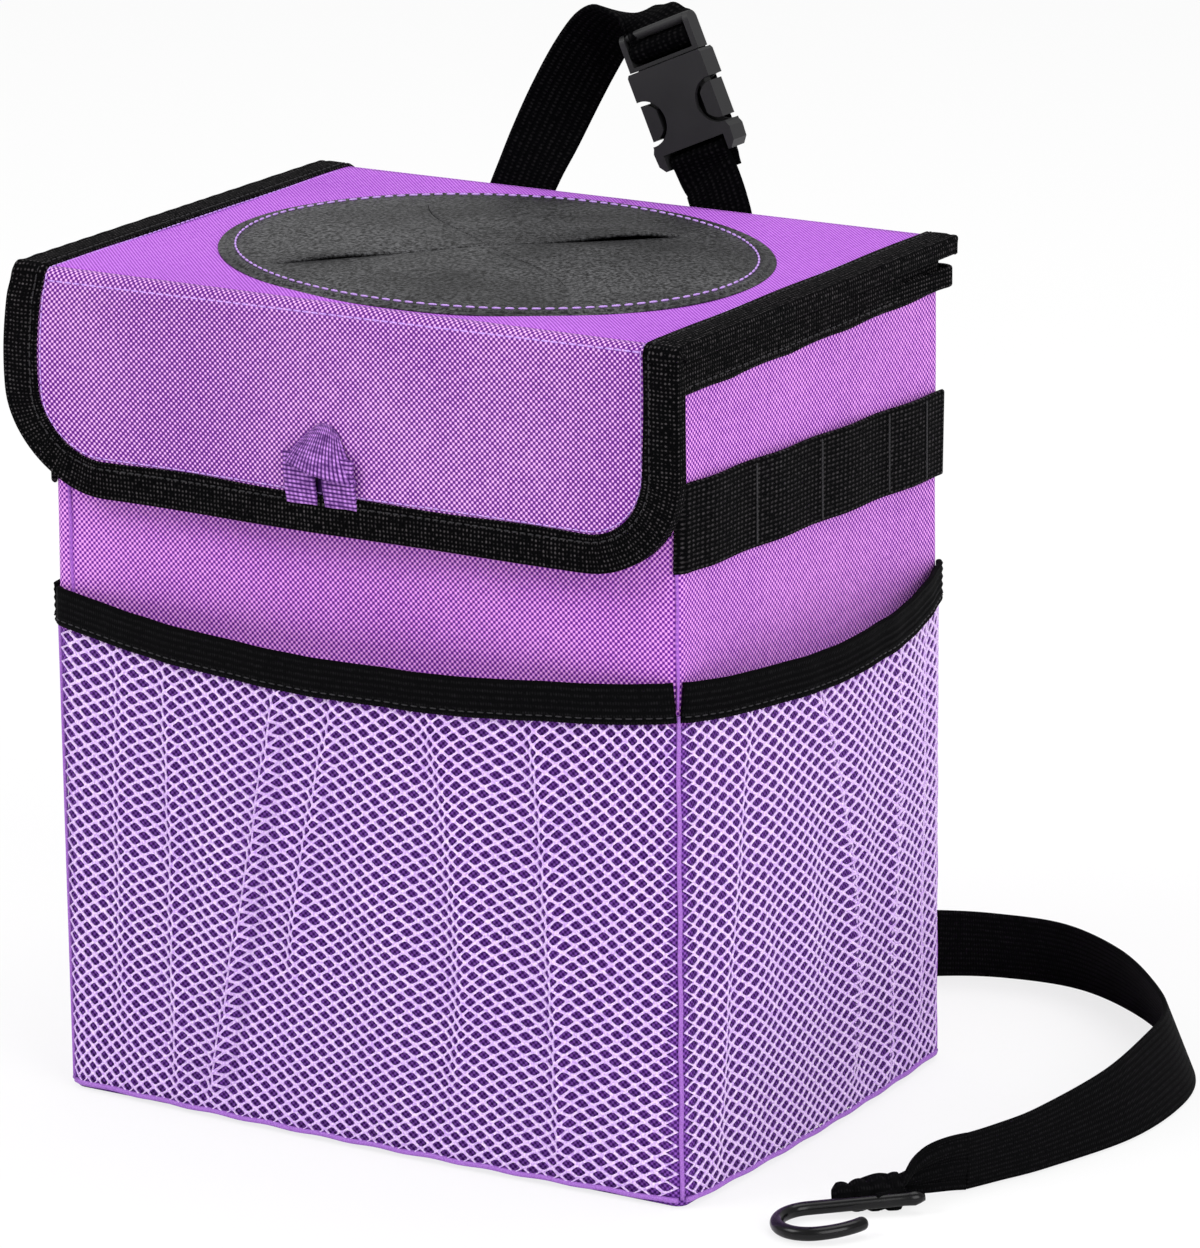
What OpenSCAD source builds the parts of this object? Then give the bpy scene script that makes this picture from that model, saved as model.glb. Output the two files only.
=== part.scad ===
// Soft car trash bin: a boarded cloth box with a sewn lid, a front flap, mesh pockets,
// a buckled strap loop for a headrest and an elastic strap with a hook below.
// X runs left to right, the front faces -Y, Z is up, and the floor is at Z = 0.

/* [Body] */
// Width of the body, left to right
body_w = 210; // [160:1:260]
// Depth of the body, front to back
body_d = 150; // [120:1:200]
// Height from the floor to the top of the lid cloth
total_h = 250; // [225:1:320]
// Radius of the body's upright corners
corner_r = 4; // [3:0.5:8]
// Thickness of the outer cloth
cloth_t = 1.2; // [0.8:0.1:1.6]
// Thickness of the stiffening boards in the walls
board_t = 2.4; // [1.6:0.1:4]
// Thickness of the washable lining
lining_t = 0.8; // [0.5:0.1:1.2]

/* [Binding tape] */
// Thickness of the woven binding tape
tape_t = 0.8; // [0.5:0.1:1.2]
// Height of the tape round the body's rim
rim_tape_h = 11.5; // [8:0.5:16]
// Width of the tape on the lid and the flap
edge_tape_w = 10.5; // [7:0.5:14]

/* [Lid] */
// How far the lid reaches past each side of the body
lid_overhang = 4.6; // [3.5:0.1:8]
// Thickness of the stiff board inside the lid
lid_board_t = 1.6; // [1:0.1:3]
// How wide the lid opens
lid_open = 0; // [0:1:90]

/* [Leather insert] */
// Distance from the lid's left edge to the leather oval
leather_left = 27; // [18:0.2:44]
// Distance from the lid's right edge to the leather oval
leather_right = 20.2; // [14:0.2:44]
// Distance from the fold to the leather oval
leather_front = 4.7; // [4:0.1:24]
// Distance from the lid's back edge to the leather oval
leather_back = 9.5; // [6:0.1:24]
// Turn of the leather oval on the lid
leather_turn = -14; // [-20:1:20]
// Thickness of the leather
leather_t = 1.2; // [0.8:0.1:1.6]
// Width of the leather rim that is sewn down on the lid
leather_seam = 6; // [4:0.5:10]
// Width of the two crossed slits where they stay closed
slit_w = 0.8; // [0.5:0.1:1.2]
// Width of the slits where their ends open
slit_end_w = 2.2; // [1.2:0.1:3]

/* [Flap] */
// Thickness of the flap
flap_t = 2.8; // [2:0.1:4]
// How far the flap hangs in front of the body
flap_gap = 5.2; // [4.6:0.1:8]
// Height of the flap's lower edge above the floor
flap_bottom = 185; // [170:1:200]
// Radius of the flap's lower corners
flap_r = 29; // [16:1:40]
// Width of the hook and loop patches
patch_w = 90; // [50:1:140]
// Height of the hook and loop patches
patch_h = 20; // [12:1:26]
// Width of the ribbon pull tab
tab_w = 24; // [18:1:32]

/* [Side webbing] */
// Height of the webbing bands on the sides
webbing_h = 25.6; // [20:0.2:30]
// Thickness of the webbing bands
webbing_t = 1.6; // [1:0.1:2.2]
// Height of the bands' middle above the floor
webbing_z = 195; // [180:1:205]
// Distance between the tacks that make the loops
tack_pitch = 38; // [30:1:50]
// How far the band stands off between two tacks
loop_rise = 1; // [0.4:0.1:2]

/* [Pockets] */
// Height of the pockets' mouth above the floor
pocket_top = 154; // [130:1:165]
// Height of the elastic band round the mouth
elastic_h = 11.6; // [9:0.2:15]
// Thickness of the elastic band and the net
elastic_t = 1.8; // [1.4:0.1:2.4]
// Thickness of the net's strands
net_t = 1.2; // [0.9:0.1:1.6]
// How far the mouth stands off the wall
pocket_bow = 12; // [10:0.5:18]
// How far the net's foot stands off the wall
net_foot_bow = 3; // [2:0.5:5]
// Part of each mesh that its hole fills, along one side
hole_part = 0.74; // [0.6:0.02:0.82]

/* [Strap and buckle] */
// Width of the headrest strap
strap_w = 21; // [18:0.5:22]
// Thickness of the headrest strap
strap_t = 1.4; // [1:0.1:1.5]
// Length of the closed buckle
buckle_l = 42.4; // [41:0.2:46]
// Width of the buckle's housing
buckle_w = 27; // [26.6:0.1:30]
// Thickness of the buckle's housing
buckle_t = 7.5; // [7:0.1:9]
// Lean of the buckle from upright
buckle_lean = 23.4; // [15:0.2:30]
// Height of the buckle's middle above the lid
buckle_rise = 31.9; // [28:0.1:45]
// How far the buckle stands to the right of the middle
buckle_x = 11; // [4:0.5:20]
// Radius of the bars that the strap goes round
bar_r = 1.5; // [1.3:0.1:1.6]
// How far each latch arm is pressed
latch_press = 0; // [0:0.5:4]

/* [Lower strap and hook] */
// Width of the elastic strap
cord_w = 25; // [20:0.5:28]
// Thickness of the elastic strap
cord_t = 1.5; // [1:0.1:2]
// Thickness of the hook's wire
wire_d = 4; // [3.2:0.1:5]
// Inner radius of the hook's bend
bend_r = 8; // [6:0.5:12]
// Length of the hook's straight shank
shank_l = 31; // [27:1:40]

/* [Hidden] */
$fn = 48;

// Colours as they look on the bin
violet = "#a45ae0";
light_mesh = "#c9a4ef";
near_black = "#1b1a1d";
dark_leather = "#3a3a3e";
buckle_grey = "#2e2e30";
board_grey = "#8d8d92";
lining_grey = "#55555c";

// Gaps: between sewn neighbours, and between parts that move past each other
fit = 0.1;
seat = 0.3;
lid_gap = 0.4;

// Walls of the body
wall_t = cloth_t + board_t;
lid_t = cloth_t + lid_board_t + lining_t;
rim_top = total_h - lid_t - lid_gap;
shell_top = rim_top - tape_t - fit;
room_w = body_w - 2 * wall_t - 2 * lining_t;
room_d = body_d - 2 * wall_t - 2 * lining_t;
tape_out = tape_t + fit;

// Lid, fold and flap
lid_w = body_w + 2 * lid_overhang;
lid_z = total_h - lid_t;
hinge_y = body_d / 2;
hinge_z = rim_top + lid_gap / 2;
flap_in = body_d / 2 + flap_gap;
fold_y = -flap_in;
fold_z = total_h - flap_t;
fold_gap = 0.3;

// Leather oval: what the distances to the lid's edges leave
leather_w = lid_w - leather_left - leather_right;
leather_d = hinge_y - fold_y - leather_front - leather_back;
oval_x = (leather_left - leather_right) / 2;
oval_y = (hinge_y + fold_y + leather_front - leather_back) / 2;

// Middle of the closed buckle, and the length of its parts from the top
buckle_y = body_d / 2 + buckle_rise * 8 / 31.9 + buckle_t / 2;
buckle_z = total_h + buckle_rise;
lean_s = sin(buckle_lean);
lean_c = cos(buckle_lean);
male_w = buckle_w - 1.4;
male_t = 5.2;
top_bar_s = -buckle_l / 2 + 1.4;
mid_bar_s = top_bar_s + 5.2;
joint_s = -9.75;
low_bar_s = buckle_l / 2 - 1.3;
housing_end_s = low_bar_s - bar_r - strap_t - 0.6;
slot_w = strap_w + 0.8;
pivot_w = 9.2;
pivot_s = joint_s + 1.3;
window_r = 7;
window_w = buckle_w / 2 - 0.6;
window_s = 6;

// Ends of a strap run along the back wall
back_y = body_d / 2 + 0.2 + strap_t / 2;
over_tape_y = body_d / 2 + tape_out + 0.4 + strap_t / 2;

// Things on the floor keep their place beside the body when it grows: k_x across, k_y behind
k_x = body_w / 210;
k_y = body_d / 150;
cord_base = body_d / 2 + 0.3 + cord_t / 2;
cord_z = cord_w / 2 + 0.3;
function floor_spot(q) = [q[0] * k_x, cord_base + q[1] * k_y];

// Hook: middle of its shank's end, its turn and its tilt
hook_spot = floor_spot([163.2, -120.75]);
hook_pos = [hook_spot[0], hook_spot[1], wire_d / 2 + 2.6];
hook_turn = 217.5;
hook_tilt = 2.9;

// Elastic strap on its edge, from the back wall to the hook: a route chosen by hand, with each
// point's distance from the middle and from the back wall
cord_route = [
    for (q = [
        [-45, 0], [-25, 0.2], [0, 4.95], [25, 19.95], [48, 41.95], [70, 60.95], [90, 69.95],
        [115, 70.95], [142, 56.95], [165, 34.95], [181, 12.95], [187, -10.05], [187, -40.05],
        [178, -72.05], [171, -88.05], [166.5, -98.05]
    ]) let (p = floor_spot(q)) [p[0], p[1], cord_z]
];

// Vector helpers
function unit(v) = v / norm(v);
function mix(a, b, t) = a + (b - a) * t;
function smooth(t) = t <= 0 ? 0 : t >= 1 ? 1 : t * t * (3 - 2 * t);

// Point on the smooth curve through four neighbours, for t from 0 to 1
function curve4(a, b, c, d, t) =
    b + t * 0.5 * ((c - a) + t * ((2 * a - 5 * b + 4 * c - d) + t * (3 * b - a - 3 * c + d)));
function clamp_index(i, n) = min(max(i, 0), n - 1);
// Smooth curve through all the points of a list, with n steps between two of them
function curve(p, n) = [
    for (i = [0:len(p) - 2], k = [0:n - 1])
        curve4(p[clamp_index(i - 1, len(p))], p[i], p[i + 1], p[clamp_index(i + 2, len(p))], k / n),
    p[len(p) - 1]
];
// Direction of a polyline at point i
function along(p, i) =
    unit(p[clamp_index(i + 1, len(p))] - p[clamp_index(i - 1, len(p))]);

// Closed solid between two grids of points, given row by row
module slab(front, back) {
    rows = len(front);
    cols = len(front[0]);
    half = rows * cols;
    points = [for (r = front) for (p = r) p, for (r = back) for (p = r) p];
    faces = [
        for (i = [0:rows - 2], j = [0:cols - 2]) each [
            [i * cols + j, i * cols + j + 1, (i + 1) * cols + j],
            [i * cols + j + 1, (i + 1) * cols + j + 1, (i + 1) * cols + j],
            [half + i * cols + j, half + (i + 1) * cols + j, half + i * cols + j + 1],
            [half + i * cols + j + 1, half + (i + 1) * cols + j, half + (i + 1) * cols + j + 1]
        ],
        for (i = [0:rows - 2]) each [
            [i * cols, (i + 1) * cols, half + i * cols],
            [(i + 1) * cols, half + (i + 1) * cols, half + i * cols],
            [(i + 1) * cols - 1, half + (i + 1) * cols - 1, (i + 2) * cols - 1],
            [(i + 2) * cols - 1, half + (i + 1) * cols - 1, half + (i + 2) * cols - 1]
        ],
        for (j = [0:cols - 2]) each [
            [j, half + j, j + 1],
            [j + 1, half + j, half + j + 1],
            [half - cols + j, half - cols + j + 1, 2 * half - cols + j],
            [half - cols + j + 1, 2 * half - cols + j + 1, 2 * half - cols + j]
        ]
    ];
    polyhedron(points, faces, convexity = 8);
}

// Flat strap swept along points, with its width lying along one direction at each of them
module strap(path, across, w, t) {
    face = [for (i = [0:len(path) - 1]) unit(cross(along(path, i), across[i]))];
    front = [for (i = [0:len(path) - 1]) [
        path[i] - across[i] * w / 2 + face[i] * t / 2, path[i] + across[i] * w / 2 + face[i] * t / 2]];
    back = [for (i = [0:len(path) - 1]) [
        path[i] - across[i] * w / 2 - face[i] * t / 2, path[i] + across[i] * w / 2 - face[i] * t / 2]];
    slab(front, back);
}

// Rectangle with round corners, centred
module round_rect(w, d, r) {
    square([w - 2 * r, d], center = true);
    square([w, d - 2 * r], center = true);
    for (x = [-1, 1], y = [-1, 1])
        translate([x * (w / 2 - r), y * (d / 2 - r)]) circle(r);
}

// Upright block with round corners
module block(w, d, r, z0, z1) {
    translate([0, 0, z0]) linear_extrude(z1 - z0) round_rect(w, d, r);
}

// Box with its lower corner and its size
module box(low, size) {
    translate(low) cube(size);
}

module outer_shell() {
    color(violet) difference() {
        block(body_w, body_d, corner_r, 0, shell_top);
        block(body_w - 2 * cloth_t, body_d - 2 * cloth_t, corner_r - cloth_t, cloth_t, shell_top + 1);
    }
}

// Upright board behind one wall: w is its length and d how far its outer face is from the middle
module wall_board(w, d) {
    color(board_grey) box([-w / 2, d - board_t, wall_t], [w, board_t, shell_top - wall_t]);
}
front_board_w = body_w - 2 * corner_r - 0.2;
side_board_w = body_d - 2 * corner_r - 0.2;
module front_board() {
    mirror([0, 1, 0]) wall_board(front_board_w, body_d / 2 - cloth_t);
}
module back_board() {
    wall_board(front_board_w, body_d / 2 - cloth_t);
}
module right_board() {
    rotate([0, 0, -90]) wall_board(side_board_w, body_w / 2 - cloth_t);
}
module left_board() {
    rotate([0, 0, 90]) wall_board(side_board_w, body_w / 2 - cloth_t);
}
module base_board() {
    color(board_grey)
        block(body_w - 2 * cloth_t - 0.4, body_d - 2 * cloth_t - 0.4, corner_r - cloth_t, cloth_t, wall_t);
}

module inner_liner() {
    liner_r = max(corner_r - cloth_t, 2.4);
    color(lining_grey) difference() {
        block(room_w + 2 * lining_t, room_d + 2 * lining_t, liner_r, wall_t, shell_top);
        block(room_w, room_d, liner_r - lining_t, wall_t + lining_t, shell_top + 1);
    }
}

// Tape folded over the rim, outside and inside
module rim_binding() {
    color(near_black) difference() {
        block(body_w + 2 * tape_out, body_d + 2 * tape_out, corner_r + tape_out,
              rim_top - rim_tape_h, rim_top);
        block(room_w - 2 * tape_out, room_d - 2 * tape_out, 1.5, 0, rim_top + 1);
        difference() {
            block(body_w + 2 * fit, body_d + 2 * fit, corner_r + fit, 0, rim_top - tape_t);
            block(room_w - 2 * fit, room_d - 2 * fit, 1.5 + tape_t, -1, rim_top);
        }
    }
}

// Loop half of the closure on the front wall, hook half on the flap
patch_z = flap_bottom + edge_tape_w + 2;
loop_t = flap_gap * 0.42;
hook_t = flap_gap - loop_t - seat;
module front_loop_patch() {
    color(near_black)
        box([-patch_w / 2, -body_d / 2 - loop_t, patch_z], [patch_w, loop_t, patch_h]);
}
module flap_hook_patch() {
    color(near_black)
        box([-patch_w / 2, fold_y, patch_z], [patch_w, hook_t, patch_h]);
}

// Webbing band on one side, tacked at equal steps so that it stands off as loops
webbing_in = body_w / 2 + fit;
webbing_back = body_d / 2 - 1;
webbing_front = corner_r - body_d / 2;
function rise(y) = loop_rise * pow(sin(180 * (webbing_back - y) / tack_pitch), 2);
function band_edge(off) = concat(
    [for (i = [0:44]) let (y = mix(webbing_back, webbing_front, i / 44))
        [webbing_in + off + rise(y) * smooth((y - webbing_front) / 12), y]],
    [for (a = [-10:-10:-50]) [body_w / 2 - corner_r + (corner_r + fit + off) * cos(a),
        webbing_front + (corner_r + fit + off) * sin(a)]]);
module side_webbing_right() {
    inside = band_edge(0);
    color(near_black) translate([0, 0, webbing_z - webbing_h / 2]) linear_extrude(webbing_h)
        polygon(concat(band_edge(webbing_t), [for (i = [len(inside) - 1:-1:0]) inside[i]]));
}
module side_webbing_left() {
    mirror([1, 0, 0]) side_webbing_right();
}

// Shape of a pocket of width w: how far it stands off the wall at u across and t up,
// and the height of the net's top edge there
function belly(u, w) = 1 - pow(2 * u / w, 2);
function gather(u, t) = 0.7 * (1 - cos(360 * u / 26)) * 4 * t * (1 - t);
function stand_off(u, w, t) =
    seat + (net_foot_bow + (pocket_bow - net_foot_bow) * t) * belly(u, w) + gather(u, t) * belly(u, w);
net_foot = 2;
net_top = pocket_top - elastic_h - 0.2;
function sag(u, w) = (w / body_w) * 5 * belly(u, w);
function net_z(u, w, t) = mix(net_foot, net_top - sag(u, w), t);

// Net of diamond holes, worked out on half-cell steps: corners have an even sum of steps,
// and each odd sum inside the edges is the middle of a hole
module pocket_net(w, nx, nz) {
    span = w - 0.4;
    function spot(a, b, k) = let (u = span * (a / (2 * nx) - 0.5), t = b / (2 * nz))
        [u, stand_off(u, w, t) + k * net_t, net_z(u, w, t)];
    holes = [for (a = [1:2 * nx - 1], b = [1:2 * nz - 1]) if ((a + b) % 2 == 1) [a, b]];
    corner = [[-1, 0], [0, 1], [1, 0], [0, -1]];
    cols = 2 * nz + 1;
    plane = (2 * nx + 1) * cols;
    rim = 4 * len(holes);
    points = [
        for (k = [0, 1], a = [0:2 * nx], b = [0:2 * nz]) spot(a, b, k),
        for (k = [0, 1], h = holes, c = corner) mix(spot(h[0], h[1], k),
            spot(h[0] + c[0], h[1] + c[1], k), hole_part)
    ];
    function node_at(h, c, k) = k * plane + (h[0] + corner[c][0]) * cols + h[1] + corner[c][1];
    function rim_at(i, c, k) = 2 * plane + k * rim + 4 * i + c;
    faces = [
        for (i = [0:len(holes) - 1], c = [0:3]) let (h = holes[i], d = (c + 1) % 4) each [
            [node_at(h, c, 1), node_at(h, d, 1), rim_at(i, c, 1)],
            [node_at(h, d, 1), rim_at(i, d, 1), rim_at(i, c, 1)],
            [node_at(h, c, 0), rim_at(i, c, 0), node_at(h, d, 0)],
            [node_at(h, d, 0), rim_at(i, c, 0), rim_at(i, d, 0)],
            [rim_at(i, c, 1), rim_at(i, d, 1), rim_at(i, c, 0)],
            [rim_at(i, d, 1), rim_at(i, d, 0), rim_at(i, c, 0)]
        ],
        for (a = [1:2:2 * nx - 1]) each [
            [(a - 1) * cols, plane + (a - 1) * cols, (a + 1) * cols],
            [plane + (a - 1) * cols, plane + (a + 1) * cols, (a + 1) * cols],
            [plane + (a - 1) * cols, plane + a * cols + 1, plane + (a + 1) * cols],
            [(a - 1) * cols, (a + 1) * cols, a * cols + 1],
            [a * cols - 1, (a + 2) * cols - 1, plane + a * cols - 1],
            [(a + 2) * cols - 1, plane + (a + 2) * cols - 1, plane + a * cols - 1],
            [plane + a * cols - 1, plane + (a + 2) * cols - 1, plane + (a + 1) * cols - 2],
            [a * cols - 1, (a + 1) * cols - 2, (a + 2) * cols - 1]
        ],
        for (b = [1:2:2 * nz - 1]) let (last = 2 * nx * cols) each [
            [b - 1, b + 1, plane + b - 1],
            [b + 1, plane + b + 1, plane + b - 1],
            [plane + b - 1, plane + b + 1, plane + cols + b],
            [b - 1, cols + b, b + 1],
            [last + b - 1, plane + last + b - 1, last + b + 1],
            [last + b + 1, plane + last + b - 1, plane + last + b + 1],
            [plane + last + b - 1, plane + last - cols + b, plane + last + b + 1],
            [last + b - 1, last + b + 1, last - cols + b]
        ]
    ];
    color(light_mesh) polyhedron(points, faces, convexity = 10);
}

// Elastic band round a pocket's mouth
module pocket_elastic(w, steps) {
    function row(k) = [for (i = [0:steps]) let (u = (w - 0.4) * (i / steps - 0.5))
        let (n = stand_off(u, w, 1) + k * elastic_t, z = net_top + 0.2 - sag(u, w))
            [[u, n, z], [u, n, z + elastic_h]]];
    color(near_black) slab(row(0), row(1));
}

// Put a pocket piece, drawn with its wall at Y = 0, on the front, left or right wall
module on_front() {
    mirror([0, 1, 0]) translate([0, body_d / 2, 0]) children();
}
module on_right() {
    rotate([0, 0, -90]) translate([0, body_w / 2, 0]) children();
}
module on_left() {
    rotate([0, 0, 90]) translate([0, body_w / 2, 0]) children();
}
module front_pocket_net() {
    on_front() pocket_net(body_w, 9, 7);
}
module left_pocket_net() {
    on_left() pocket_net(body_d, 6, 7);
}
module right_pocket_net() {
    on_right() pocket_net(body_d, 6, 7);
}
module front_pocket_elastic() {
    on_front() pocket_elastic(body_w, 20);
}
module left_pocket_elastic() {
    on_left() pocket_elastic(body_d, 16);
}
module right_pocket_elastic() {
    on_right() pocket_elastic(body_d, 16);
}

// Buckle frame: s runs down the buckle from its middle, n stands out to the front,
// and w runs across it to the right
function buckle_point(s, n, w = 0) =
    [buckle_x + s * lean_s + w * lean_c, buckle_y - n, buckle_z - s * lean_c + w * lean_s];
buckle_across = [lean_c, 0, lean_s];
module at_buckle() {
    translate([buckle_x, buckle_y, buckle_z]) rotate([0, -buckle_lean, 0]) children();
}
// Plate of the buckle: its outline is drawn with w across and s downwards
module buckle_plate(t) {
    rotate([90, 0, 0]) translate([0, 0, -t / 2]) linear_extrude(t) mirror([0, 1]) children();
}
module bar(s, l) {
    translate([-l / 2, 0, -s]) rotate([0, 90, 0]) cylinder(r = bar_r, h = l);
}

wrap_r = bar_r + 0.2 + strap_t / 2;
// Points of the strap on its way round a bar, from one angle to another
function round_bar(s, from, to, n) = [
    for (i = [0:n]) let (a = mix(from, to, i / n)) buckle_point(s - wrap_r * cos(a), wrap_r * sin(a))
];

// Long side of the loop: up from the back wall, over the top with half a turn, and round
// the buckle's middle bar
module upper_strap_left() {
    foot = [0, body_d / 2, total_h, 0, 0, 0];
    bar_at = buckle_point(top_bar_s, -wrap_r);
    top = [bar_at[0], bar_at[1], bar_at[2], 0, 0, 0];
    k = buckle_rise / 31.9;
    function grown(q) = [k * q[0], k * q[1], k * q[2], q[3], q[4], q[5]];
    // Each row holds a point of the strap's middle line and the direction across the strap
    route = concat(
        [for (q = [
            [-47, 0.9, -44, 1, 0, 0], [-46.3, 0.9, -31, 1, 0, -0.06], [-45.2, 1.6, -20, 0.99, 0, -0.15],
            [-42.7, 4.6, -7.3, 0.97, 0, -0.24], [-39.6, 9.2, 4.5, 0.96, 0.06, -0.28],
            [-36.9, 13.8, 13.9, 0.9, 0.22, -0.38], [-33.7, 17.8, 23.5, 0.82, 0.37, -0.44],
            [-29.4, 20.5, 33.2, 0.74, 0.48, -0.47], [-24.5, 21.6, 41.5, 0.66, 0.6, -0.45]
        ]) foot + grown(q)],
        [for (q = [
            [-23.3, 7.1, -3.1, 0.59, 0.7, -0.4], [-18.7, 5.7, 0.9, 0.53, 0.79, -0.3],
            [-13.9, 3.7, 3.1, 0.52, 0.84, -0.13], [-9.3, 1.9, 3.4, 0.6, 0.79, 0.08],
            [-4.7, 0.8, 2.8, 0.72, 0.62, 0.3], [-0.9, 0.3, 2.2, 0.88, 0.12, 0.42],
            [0, 0, 0, lean_c, 0, lean_s]
        ]) top + grown(q)]);
    rising = curve(route, 2);
    slant = asin(2 * wrap_r / (mid_bar_s - top_bar_s)) - 90;
    threading = concat(
        round_bar(top_bar_s, -120, -180 - slant, 3), round_bar(mid_bar_s, -slant, 260, 9));
    path = concat([for (q = rising) [q[0], q[1], q[2]]], threading);
    across = [for (i = [0:len(path) - 1]) i >= len(rising) - 1 ? buckle_across :
        unit([rising[i][3], rising[i][4], rising[i][5]])];
    color(near_black) strap(path, across, strap_w, strap_t);
}

// Short side of the loop: folded round the buckle's lower bar and sewn to the back wall
module upper_strap_right() {
    k = buckle_rise / 31.9;
    function step(x, y, z) = [k * x, body_d / 2 + k * y, total_h + k * z];
    fold = concat(
        [buckle_point(low_bar_s + 15 * k, -1.3 * k), buckle_point(low_bar_s + 8 * k, -1.5 * k),
         buckle_point(low_bar_s + 3 * k, -wrap_r + 0.3)],
        [for (p = round_bar(low_bar_s, -90, 90, 8)) p]);
    down = curve([
        buckle_point(low_bar_s, wrap_r), buckle_point(low_bar_s + 5 * k, 1.7 * k),
        step(23.4, 8.9, 6), step(27, 6.9, 0), step(29.6, 5, -6),
        [31 * k, over_tape_y, total_h - 14 * k],
        [31.5 * k, back_y, total_h - 26 * k], [31.5 * k, back_y, total_h - 44 * k]
    ], 3);
    path = concat(fold, [for (i = [1:len(down) - 1]) down[i]]);
    across = [for (i = [0:len(path) - 1]) i < len(fold) ? buckle_across :
        let (d = along(path, i)) unit(cross(d, [0, 1, 0]))];
    color(near_black) strap(path, across, strap_w - 0.4, strap_t);
}

// Male half: a ladder frame with two bars, a shoulder and the guide between the latch arms
module buckle_male() {
    cheek_w = (male_w - slot_w) / 2;
    top_s = -buckle_l / 2;
    color(buckle_grey) at_buckle() {
        for (side = [-1, 1])
            translate([side * (slot_w + cheek_w) / 2, 0, 0]) rotate([90, 0, 90])
                linear_extrude(cheek_w, center = true) {
                    translate([0, -top_s - male_t / 2]) circle(male_t / 2);
                    translate([-male_t / 2, -joint_s]) square([male_t, joint_s - top_s - male_t / 2]);
                }
        for (s = [top_bar_s, mid_bar_s]) bar(s, slot_w + 0.4);
        buckle_plate(male_t) translate([-male_w / 2, joint_s - 1.1]) square([male_w, 1.1]);
        buckle_plate(2.4) translate([-2.2, joint_s - 0.5]) square([4.4, 18]);
    }
}

// Outline of the female half, with flared ears that hold the lower bar
module housing_outline() {
    ear = buckle_w / 2 + 0.7;
    ear_s = buckle_l / 2 - 6.2;
    polygon([
        [-buckle_w / 2 + 0.6, joint_s + seat], [buckle_w / 2 - 0.6, joint_s + seat],
        [buckle_w / 2, joint_s + 1.2], [buckle_w / 2, ear_s - 1.4], [ear, ear_s],
        [ear - 0.3, buckle_l / 2 - 2], [ear - 2, buckle_l / 2], [slot_w / 2 + 0.2, buckle_l / 2],
        [slot_w / 2 + 0.2, housing_end_s], [-slot_w / 2 - 0.2, housing_end_s],
        [-slot_w / 2 - 0.2, buckle_l / 2], [2 - ear, buckle_l / 2], [0.3 - ear, buckle_l / 2 - 2],
        [-ear, ear_s], [-buckle_w / 2, ear_s - 1.4], [-buckle_w / 2, joint_s + 1.2]
    ]);
}
module buckle_female() {
    cavity_w = buckle_w - 3.2;
    color(buckle_grey) at_buckle() {
        difference() {
            buckle_plate(buckle_t) housing_outline();
            buckle_plate(4.4) translate([-cavity_w / 2, joint_s - 1]) square([cavity_w, 24]);
            for (side = [-1, 1])
                translate([side * window_w, buckle_t, -window_s]) rotate([90, 0, 0])
                    cylinder(r = window_r, h = 2 * buckle_t);
        }
        bar(low_bar_s, slot_w + 0.8);
    }
}

// Latch arm: a stem from the pivot and a pad that fills the window of the housing
module latch_arm(side) {
    pad_r = window_r - 1.4;
    color(buckle_grey) at_buckle()
        translate([side * pivot_w, 0, -pivot_s]) rotate([0, side * latch_press, 0])
            translate([-side * pivot_w, 0, pivot_s]) mirror([side < 0 ? 1 : 0, 0, 0]) {
                buckle_plate(3.6) {
                    translate([pivot_w, pivot_s]) circle(1);
                    translate([pivot_w - 1, pivot_s]) square([2, window_s - pivot_s]);
                }
                buckle_plate(buckle_t - 0.8) intersection() {
                    translate([window_w, window_s]) circle(pad_r);
                    translate([pivot_w - 1, 0]) square([buckle_w / 2 - 0.5 - pivot_w + 1, 2 * window_s]);
                }
            }
}
module latch_left() {
    latch_arm(-1);
}
module latch_right() {
    latch_arm(1);
}

module lower_strap() {
    path = curve(cord_route, 3);
    across = [for (p = path) [0, 0, 1]];
    color(near_black) strap(path, across, cord_w, cord_t);
}

module at_hook() {
    translate(hook_pos) rotate([0, 0, hook_turn]) rotate([0, hook_tilt, 0]) children();
}
bend_mid = bend_r + wire_d / 2;
tip_r = 22;
tip_turn = 36;
// Centres, headings and radii of the rings that the bent wire is swept through
function wire_rings() = let (r = wire_d / 2, far = [shank_l, 2 * bend_mid - tip_r], last = 90 + tip_turn)
    concat(
        [for (k = [[-2.5, 0.9], [-1.7, 1.9], [0, 2.6], [1.4, 2.3], [2.2, r], [shank_l / 2, r]])
            [[k[0], 0], 0, k[1]]],
        [for (i = [0:14]) let (a = -90 + 180 * i / 14)
            [[shank_l + bend_mid * cos(a), bend_mid + bend_mid * sin(a)], a + 90, r]],
        [for (i = [1:5]) let (a = 90 + tip_turn * i / 5)
            [far + tip_r * [cos(a), sin(a)], a + 90, r]],
        [for (k = [[0.9, 0.85 * r], [1.5, 0.45 * r]])
            [far + tip_r * [cos(last), sin(last)] - k[0] * [sin(last), -cos(last)], last + 90, k[1]]]
    );
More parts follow.
